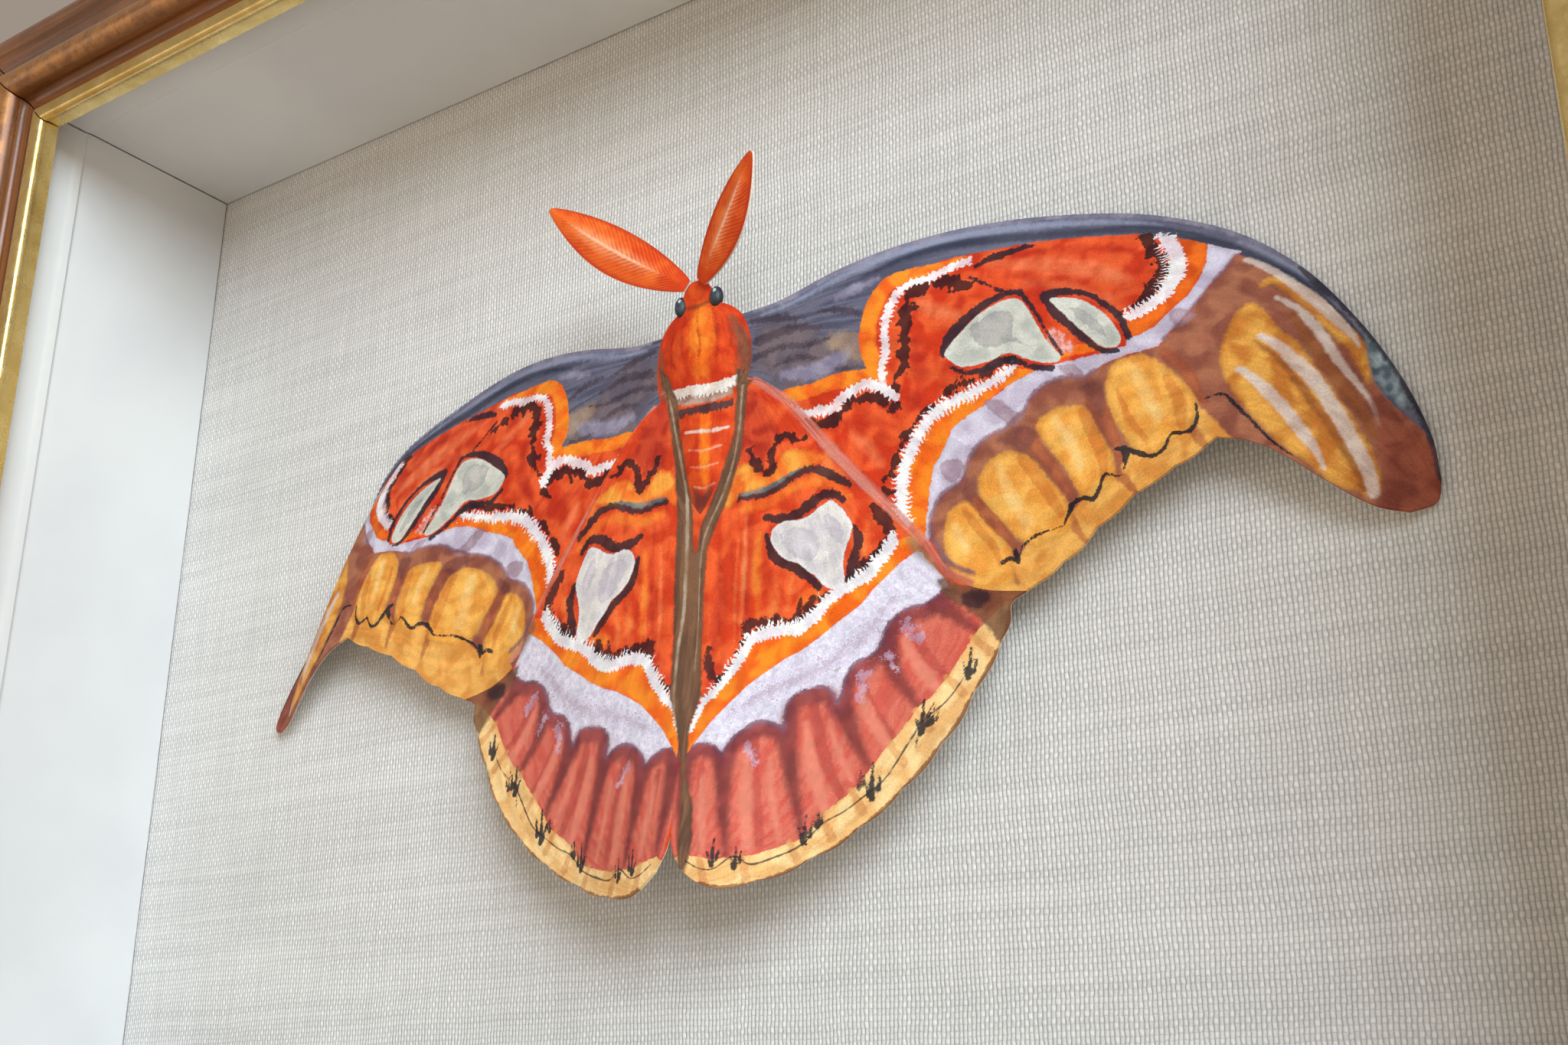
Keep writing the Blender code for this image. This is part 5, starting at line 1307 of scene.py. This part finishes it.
bodyLayers = [
    layer("thoraxSide", (206, 58, 24), (178, 38, 20), soft=1.4, wobble=1.0, cover=0.85),
    layer("thoraxGlow", (254, 148, 46), (246, 118, 32), soft=1.6, wobble=0.9, cover=0.9),
    layer("thoraxStreaks", (190, 50, 22), (168, 38, 20), soft=0.35, wobble=0.5, fray=0.4, cover=0.7),
    layer("forehead", (236, 108, 40), (214, 76, 30), soft=0.6, wobble=0.5, cover=0.8),
    layer("neck", (120, 40, 30), (92, 34, 30), soft=0.5, wobble=0.4, cover=0.7),
    layer("abdomenGlow", (250, 138, 36), (242, 104, 28), soft=0.5, wobble=0.4, cover=0.9),
    layer("bars", (240, 226, 214), (226, 190, 170), soft=0.18, wobble=0.25, cover=0.85),
    layer("faintBars", (240, 190, 160), (228, 150, 120), soft=0.18, wobble=0.25, cover=0.6),
    layer("abdomenEnd", (120, 56, 44), (88, 44, 42), soft=0.9, wobble=0.5, cover=0.85),
    layer("thoraxBrown", (124, 62, 48), (98, 48, 46), soft=0.6, wobble=0.7, cover=0.8),
    layer("collarShade", (186, 164, 148), (146, 124, 112), soft=0.4, wobble=0.6, fray=0.4, cover=0.9),
    layer("blackCollar", (70, 56, 58), (48, 40, 46), soft=0.15, wobble=0.5, fray=0.4, cover=0.93),
    layer("collar", (248, 244, 240), (228, 214, 206), soft=0.1, wobble=0.2, cover=0.96,
          comb=(0.9, 0.3, 0.9)),
    layer("shoulders", (150, 88, 60), (114, 68, 50), soft=0.8, wobble=0.6, cover=0.85, tone="stroke"),
    layer("strip", (138, 98, 72), (100, 70, 54), soft=0.35, wobble=0.35, rim=0.35, tone="stroke"),
    layer("stripPale", (200, 180, 156), (170, 142, 116), soft=0.25, wobble=0.2, cover=0.75),
]


# Feelers and eyes: the blade field holds the share along, the share across and the side

def feelerPaint():
    # Slanting barbs either side of a pale, broken rib; redder towards the edge and the tip.
    material = newMaterial("feelerWatercolour", 0.78, Specular_IOR_Level=0.15)
    split = addNode(material, "ShaderNodeSeparateXYZ", {0: readField(material, "blade", number=False)})
    along, across = split.outputs[0], split.outputs[1]
    away = reckon(material, "ABSOLUTE", across)
    place = objectPlace(material)
    rough = noise(material, place, 900.0, 2.0, 0.6)
    wash = noise(material, place, 170.0, 3.0, 0.6)
    slant = reckon(material, "MULTIPLY_ADD", away, -0.16,
                   reckon(material, "MULTIPLY_ADD", rough, 0.02, along))
    wave = reckon(material, "SINE", reckon(material, "MULTIPLY", slant, 190.0))
    comb = reckon(material, "MULTIPLY", remap(material, wave, -0.3, 0.9),
                  remap(material, wash, 0.3, 0.65, 0.25, 1.0))
    colour = blendColour(material, remap(material, wash, 0.35, 0.65), tint(244, 114, 42), tint(222, 76, 26))
    colour = blendColour(material, remap(material, across, -0.1, 0.9, 0.0, 0.55), colour, tint(206, 74, 26))
    middle = remap(material, reckon(material, "MULTIPLY_ADD", wash, 0.5, away), 0.25, 0.75, 0.75, 0.0)
    part = reckon(material, "MULTIPLY", remap(material, along, 0.12, 0.4),
                  remap(material, along, 0.62, 0.9, 1.0, 0.0))
    colour = blendColour(material, reckon(material, "MULTIPLY", middle, part), colour, tint(248, 160, 110))
    colour = blendColour(material, reckon(material, "MULTIPLY", comb, 0.6), colour, tint(176, 54, 18))
    rim = remap(material, reckon(material, "MULTIPLY_ADD", rough, 0.2, away), 0.86, 1.06, 0.0, 0.7)
    colour = blendColour(material, rim, colour, tint(182, 50, 22))
    rib = remap(material, reckon(material, "MULTIPLY_ADD", rough, 0.12, away), 0.07, 0.15, 0.7, 0.0)
    colour = blendColour(material, reckon(material, "MULTIPLY", rib, part), colour, tint(250, 196, 164))
    ends = remap(material, along, 0.0, 0.16, 0.8, 0.0)
    colour = blendColour(material, ends, colour, tint(206, 54, 22))
    bare = remap(material, readField(material, "painted"), 0.55, 0.95)
    plug(material, "Base Color", blendColour(material, bare, tint(232, 222, 208), colour))
    height = reckon(material, "MULTIPLY_ADD", comb, -0.6, rough)
    plug(material, "Normal", bump(material, height, 0.0001, 0.6))
    return material


def eyePaint():
    # Blue-grey wash, darker round the rim, with one painted white light.
    material = newMaterial("eyeWatercolour", 0.5)
    ball = readField(material, "ball", number=False)
    split = addNode(material, "ShaderNodeSeparateXYZ", {0: ball})
    wash = noise(material, objectPlace(material), 900.0, 3.0, 0.6, 0.5)
    colour = blendColour(material, remap(material, wash, 0.35, 0.65), tint(58, 76, 88), tint(32, 38, 48))
    rim = remap(material, split.outputs[1], -0.95, -0.45, 0.0, 0.9)
    colour = blendColour(material, rim, colour, tint(26, 26, 34))
    light = addNode(material, "ShaderNodeVectorMath", {0: ball, 1: (0.2, -0.86, 0.45)}, operation="DISTANCE")
    glint = remap(material, reckon(material, "MULTIPLY_ADD", wash, 0.2, light.outputs["Value"]), 0.26, 0.38,
                  0.85, 0.0)
    plug(material, "Base Color", blendColour(material, glint, colour, tint(206, 218, 224)))
    plug(material, "Normal", bump(material, wash, 0.00008, 0.4))
    return material


# Linen: plain weave worked out from the two thread spacings, on Object coordinates

linen = {
    "warpPitch": 0.00075,    # across
    "weftPitch": 0.00095,    # down
    "sway": 0.0009,          # how far a thread strays from straight
    "relief": 0.0002,
    "warpColour": (240, 237, 236),
    "weftColour": (231, 226, 222),
}


def linenCloth():
    # Thread crowns are sines across each pitch, and a checkerboard of the thread numbers says
    # which thread is on top.
    material = newMaterial("linenCloth", 0.92, Specular_IOR_Level=0.2)
    split = addNode(material, "ShaderNodeSeparateXYZ", {0: objectPlace(material)})
    place = addNode(material, "ShaderNodeCombineXYZ", {0: split.outputs[0], 1: split.outputs[2]}).outputs[0]

    def spread(scaleX, scaleZ, detail):
        return noise(material, stretch(material, place, (scaleX, scaleZ, 1.0)), 1.0, detail, 0.55, kind="2D")

    sway, kinks = spread(60.0, 75.0, 1.0), spread(800.0, 760.0, 1.0)
    strayed = reckon(material, "MULTIPLY_ADD", sway, linen["sway"],
                     reckon(material, "MULTIPLY", kinks, 0.0003))
    across = reckon(material, "ADD", split.outputs[0], strayed)
    down = reckon(material, "SUBTRACT", split.outputs[2], strayed)
    warpTurns = reckon(material, "MULTIPLY", across, 1 / linen["warpPitch"])
    weftTurns = reckon(material, "MULTIPLY", down, 1 / linen["weftPitch"])
    warpCrown = reckon(material, "ABSOLUTE",
                       reckon(material, "SINE", reckon(material, "MULTIPLY", warpTurns, math.pi)))
    weftCrown = reckon(material, "ABSOLUTE",
                       reckon(material, "SINE", reckon(material, "MULTIPLY", weftTurns, math.pi)))
    numbers = reckon(material, "ADD", reckon(material, "FLOOR", warpTurns),
                     reckon(material, "FLOOR", weftTurns))
    odd = reckon(material, "PINGPONG", numbers, 1.0)
    weftSlubs, warpSlubs = spread(30.0, 560.0, 1.0), spread(700.0, 34.0, 1.0)

    def pick(under, over):
        return addNode(material, "ShaderNodeMix", {0: odd, 2: under, 3: over}, data_type="FLOAT").outputs[0]

    # The weft packs close, so the gaps between its threads are shallow; the warp's stand open.
    gapped = reckon(material, "POWER", warpCrown, 0.6)
    weave = pick(reckon(material, "MULTIPLY", gapped, 0.9),
                 reckon(material, "MULTIPLY", gapped, reckon(material, "POWER", weftCrown, 0.3)))
    yarn = pick(remap(material, weftSlubs, 0.3, 0.7, -0.05, 0.04),
                remap(material, warpSlubs, 0.3, 0.7, -0.05, 0.05))
    bands = remap(material, spread(14.0, 480.0, 1.0), 0.3, 0.7, -0.028, 0.022)
    clouds = remap(material, spread(6.0, 30.0, 1.0), 0.3, 0.7, -0.03, 0.03)
    warpColour, weftColour = tint(*linen["warpColour"]), tint(*linen["weftColour"])
    # Painted shade: the colour darkens with the weave's height, down to 0.63 in the gaps between the threads;
    # the slubs, bands and clouds added to it are the cloth's own tone.
    deep = remap(material, weave, 0.15, 0.95, 0.63, 1.0)
    value = reckon(material, "ADD", reckon(material, "ADD", deep, yarn),
                   reckon(material, "ADD", bands, clouds))
    shade = addNode(material, "ShaderNodeCombineXYZ", {0: value, 1: value, 2: value}).outputs[0]
    colour = blendColour(material, odd, weftColour, warpColour)
    plug(material, "Base Color", blendColour(material, 1.0, colour, shade, "MULTIPLY"))
    plug(material, "Normal", bump(material, weave, linen["relief"], 0.7))
    return material


# Frame finishes

def mouldingWood():
    # Dark brown stain over fine grain, darker in the hollow, with lighter copper on the bead: partly copper
    # rubbed through, partly a painted highlight along the bead's crest.
    material = newMaterial("mouldingWood", 0.35, Coat_Weight=0.25, Coat_Roughness=0.18)
    place = objectPlace(material)
    depth = addNode(material, "ShaderNodeSeparateXYZ", {0: place}).outputs[1]
    run = readField(material, "run", number=False)
    grain = noise(material, stretch(material, run, (14.0, 900.0, 1.0)), 1.0, 4.0, 0.6, 0.3)
    cloud = noise(material, place, 34.0, 4.0, 0.6)
    wear = noise(material, place, 260.0, 5.0, 0.7)
    colour = blendColour(material, remap(material, grain, 0.32, 0.68), tint(138, 82, 36), tint(88, 48, 20))
    colour = blendColour(material, remap(material, cloud, 0.35, 0.7, 0.0, 0.5), colour, tint(60, 34, 16))
    # Painted highlight: lighter, metallic copper on the frontmost crest of the bead, broken up by the wear
    # noise where the copper is rubbed through.
    raised = remap(material, depth, -0.0680, -0.0706, 0.0, 1.0)
    rubbedCopperAndHighlight = reckon(material, "MULTIPLY", raised, remap(material, wear, 0.40, 0.62, 0.25, 0.95))
    colour = blendColour(material, rubbedCopperAndHighlight, colour, tint(190, 134, 78))
    hollow = addNode(material, "ShaderNodeSeparateXYZ", {0: run}).outputs[2]
    colour = blendColour(material, reckon(material, "MULTIPLY", hollow, 0.8), colour, tint(44, 26, 16))
    plug(material, "Base Color", colour)
    plug(material, "Metallic", reckon(material, "MULTIPLY", rubbedCopperAndHighlight, 0.75))
    plug(material, "Roughness", remap(material, wear, 0.3, 0.7, 0.24, 0.44))
    height = reckon(material, "MULTIPLY_ADD", wear, 0.6, grain)
    plug(material, "Normal", bump(material, height, 0.00012, 0.4))
    return material


def giltWood():
    # Gold leaf burnished over bole, with rubbed places and faint laps between the leaves.
    material = newMaterial("giltWood", 0.3, Metallic=0.9)
    place = objectPlace(material)
    run = readField(material, "run", number=False)
    wear = noise(material, place, 420.0, 5.0, 0.7)
    cloud = noise(material, place, 60.0, 3.0, 0.6)
    colour = blendColour(material, remap(material, cloud, 0.35, 0.65), tint(232, 206, 138),
                         tint(206, 172, 98))
    bole = remap(material, wear, 0.66, 0.8, 0.0, 0.4)
    colour = blendColour(material, bole, colour, tint(158, 98, 52))
    laps = addNode(material, "ShaderNodeSeparateXYZ", {0: run}).outputs[0]
    lap = reckon(material, "PINGPONG", laps, 0.042)
    colour = blendColour(material, remap(material, lap, 0.0, 0.0012, 0.35, 0.0), colour, tint(240, 212, 130))
    plug(material, "Base Color", colour)
    plug(material, "Metallic", remap(material, bole, 0.0, 0.4, 0.88, 0.6))
    plug(material, "Roughness", remap(material, wear, 0.3, 0.7, 0.2, 0.42))
    plug(material, "Normal", bump(material, wear, 0.00008, 0.4))
    return material


def whiteCard():
    # Matt white board with a soft paper fleck and the faintest unevenness.
    material = newMaterial("whiteCard", 0.7, Specular_IOR_Level=0.35)
    place = objectPlace(material)
    fleck = noise(material, place, 1400.0, 4.0, 0.7)
    cloud = noise(material, place, 22.0, 3.0, 0.5)
    colour = blendColour(material, remap(material, cloud, 0.35, 0.65), tint(219, 218, 217),
                         tint(211, 210, 210))
    colour = blendColour(material, remap(material, fleck, 0.55, 0.75, 0.0, 0.25), colour, tint(194, 194, 199))
    plug(material, "Base Color", colour)
    plug(material, "Roughness", remap(material, fleck, 0.3, 0.7, 0.6, 0.78))
    height = reckon(material, "MULTIPLY_ADD", cloud, 3.0, fleck)
    plug(material, "Normal", bump(material, height, 0.00008, 0.35))
    return material


def pictureGlass():
    # Clear pane: light goes straight through, and a faint gloss grows towards the grazing angles.
    material = bpy.data.materials.new("pictureGlass")
    material.use_nodes = True
    material.node_tree.nodes.clear()
    split = addNode(material, "ShaderNodeSeparateXYZ", {0: objectPlace(material)})
    place = addNode(material, "ShaderNodeCombineXYZ", {0: split.outputs[0], 1: split.outputs[2]}).outputs[0]
    smears = noise(material, place, 30.0, 0.0, 0.5, kind="2D")
    facing = addNode(material, "ShaderNodeLayerWeight", {"Blend": 0.5}).outputs["Facing"]
    share = reckon(material, "MULTIPLY_ADD", reckon(material, "POWER", facing, 5.0), 0.22, 0.004)
    clear = addNode(material, "ShaderNodeBsdfTransparent", {"Color": (0.985, 0.992, 0.988, 1.0)})
    gloss = addNode(material, "ShaderNodeBsdfGlossy",
                    {"Roughness": remap(material, smears, 0.3, 0.7, 0.01, 0.06)})
    mixed = addNode(material, "ShaderNodeMixShader", {0: share, 1: clear.outputs[0], 2: gloss.outputs[0]})
    addNode(material, "ShaderNodeOutputMaterial", {0: mixed.outputs[0]})
    return material


def fibreBoard():
    # Brown board: short pressed fibres over an uneven ground.
    material = newMaterial("fibreBoard", 0.85)
    place = objectPlace(material)
    fibres = noise(material, stretch(material, place, (900.0, 900.0, 260.0), turn=20.0), 1.0, 4.0, 0.7)
    cloud = noise(material, place, 26.0, 4.0, 0.6)
    colour = blendColour(material, remap(material, cloud, 0.3, 0.7), tint(158, 124, 88), tint(134, 102, 70))
    colour = blendColour(material, remap(material, fibres, 0.35, 0.7, 0.0, 0.6), colour, tint(104, 76, 50))
    plug(material, "Base Color", colour)
    plug(material, "Normal", bump(material, fibres, 0.0002, 0.5))
    return material


def hangerSteel():
    # Rolled plate with fine scratches along it and slightly dulled plating.
    material = newMaterial("hangerSteel", 0.35, Metallic=1.0)
    place = objectPlace(material)
    scratches = noise(material, stretch(material, place, (60.0, 1.0, 4200.0)), 1.0, 3.0, 0.6)
    cloud = noise(material, place, 180.0, 4.0, 0.6)
    colour = blendColour(material, remap(material, cloud, 0.35, 0.7), tint(196, 190, 178),
                         tint(150, 142, 128))
    plug(material, "Base Color", colour)
    plug(material, "Roughness", remap(material, scratches, 0.3, 0.7, 0.25, 0.5))
    plug(material, "Normal", bump(material, scratches, 0.00004, 0.3))
    return material


def foamPad():
    # Open cells, worked out from the distance to the nearest of many points.
    material = newMaterial("foamPad", 0.95)
    place = objectPlace(material)
    cells = addNode(material, "ShaderNodeTexVoronoi", {"Vector": place, "Scale": 2600.0}).outputs["Distance"]
    cloud = noise(material, place, 120.0, 3.0, 0.6)
    colour = blendColour(material, remap(material, cloud, 0.3, 0.7), tint(232, 230, 222), tint(214, 210, 200))
    colour = blendColour(material, remap(material, cells, 0.1, 0.6, 0.0, 0.5), colour, tint(180, 176, 166))
    plug(material, "Base Color", colour)
    plug(material, "Normal", bump(material, cells, 0.0002, 0.6))
    return material


# Building the moth and its frame

gridSteps = {"forewing": (320, 148), "hindwing": (330, 140), "body": (150, 140)}
forewing = forewingPlaces(*gridSteps["forewing"])
hindwing = hindwingPlaces(*gridSteps["hindwing"])
forewingPaint = paintedPaper("forewingWatercolour", ((234, 92, 44), (204, 54, 24)), forewingLayers)
hindwingPaint = paintedPaper("hindwingWatercolour", ((240, 96, 46), (212, 62, 28)), hindwingLayers)
bodyPaint = paintedPaper("bodyWatercolour", ((226, 80, 30), (202, 54, 22)), bodyLayers)
feelers, eyes = feelerPaint(), eyePaint()
for side, word in ((-1, "left"), (1, "right")):
    painted = forewing if side > 0 else moved(forewing, leftMoves)
    fields = paintFields(painted, forewingMarks)
    paperPiece("forewing_" + word, forewing, side, forewingPaint, "forewing_paint", fields)
    painted = hindwing if side > 0 else moved(hindwing, leftHindMoves)
    fields = {**paintFields(painted, hindwingMarks), **paintFields(hindwing, sideMarks[side])}
    paperPiece("hindwing_" + word, hindwing, side, hindwingPaint, "hindwing_paint", fields)
    makeFeeler("antenna_" + word, side, feelers)
    makeEye("eye_" + word, side, eyes)
for name, widths in (("head", headWidths), ("thorax", thoraxWidths), ("abdomen", abdomenWidths)):
    places = bodyPlaces(widths, *gridSteps["body"])
    paperPiece(name, places, 1, bodyPaint, "body_paint", paintFields(places, bodyMarks), domed=True)
print("moth built")

wood, gilt, card = mouldingWood(), giltWood(), whiteCard()
for side in ("top", "bottom", "left", "right"):
    makeStrip("moulding_" + side, side, railSection, wood, "moulding", "rail_" + side)
    makeStrip("gilt_edge_" + side, side, slipSection, gilt, "gilt", "slip_" + side)
    makeStrip("board_wall_" + side, side, wallSection, card, "white_board", "wall_" + side)


def dress(nodeName, material):
    for place in nodes[nodeName].material_slots:
        place.material = material


for nodeName, finish in (("linen_board", linenCloth), ("glass", pictureGlass), ("back_board", fibreBoard),
                         ("hanger", hangerSteel), ("mounting_pad", foamPad)):
    dress(nodeName, finish())
print("frame built")


# Light, room and floor

room = {
    "worldColour": (0.95, 0.79, 0.66, 1.0),
    "worldStrength": 0.36,
    "floorHeight": -0.1492,
    "floorReach": 3,
}


def areaLight(name, place, size, power, colour):
    # Aimed at the middle of the frame.
    data = bpy.data.lights.new(name, "AREA")
    data.shape = "RECTANGLE"
    data.size, data.size_y = size
    data.energy = power
    data.color = colour
    item = bpy.data.objects.new(name, data)
    reach = -Vector(place)
    item.matrix_world = Matrix.Translation(place) @ reach.to_track_quat("-Z", "Y").to_matrix().to_4x4()
    bpy.context.scene.collection.objects.link(item)


areaLight("windowLight", (1.1, -0.9, 0.5), (1.1, 0.8), 32, (0.79, 0.905, 1.0))
areaLight("fillLight", (-0.9, -1.0, -0.1), (0.9, 0.9), 2, (1.0, 0.95, 0.9))
world = bpy.data.worlds.new("paleRoom")
world.use_nodes = True
background = world.node_tree.nodes["Background"]
background.inputs["Color"].default_value = room["worldColour"]
background.inputs["Strength"].default_value = room["worldStrength"]
bpy.context.scene.world = world
bpy.context.scene.view_settings.view_transform = "Standard"

floorMesh = bpy.data.meshes.new("floor")
corners = [(x * room["floorReach"], y * room["floorReach"], room["floorHeight"])
           for x, y in ((-1, -1), (1, -1), (1, 1), (-1, 1))]
floorMesh.from_pydata(corners, [], [(0, 1, 2, 3)])
floor = bpy.data.objects.new("floor", floorMesh)
bpy.context.scene.collection.objects.link(floor)
floorMesh.materials.append(newMaterial("paleFloor", 0.8, Base_Color=tint(232, 210, 184)))
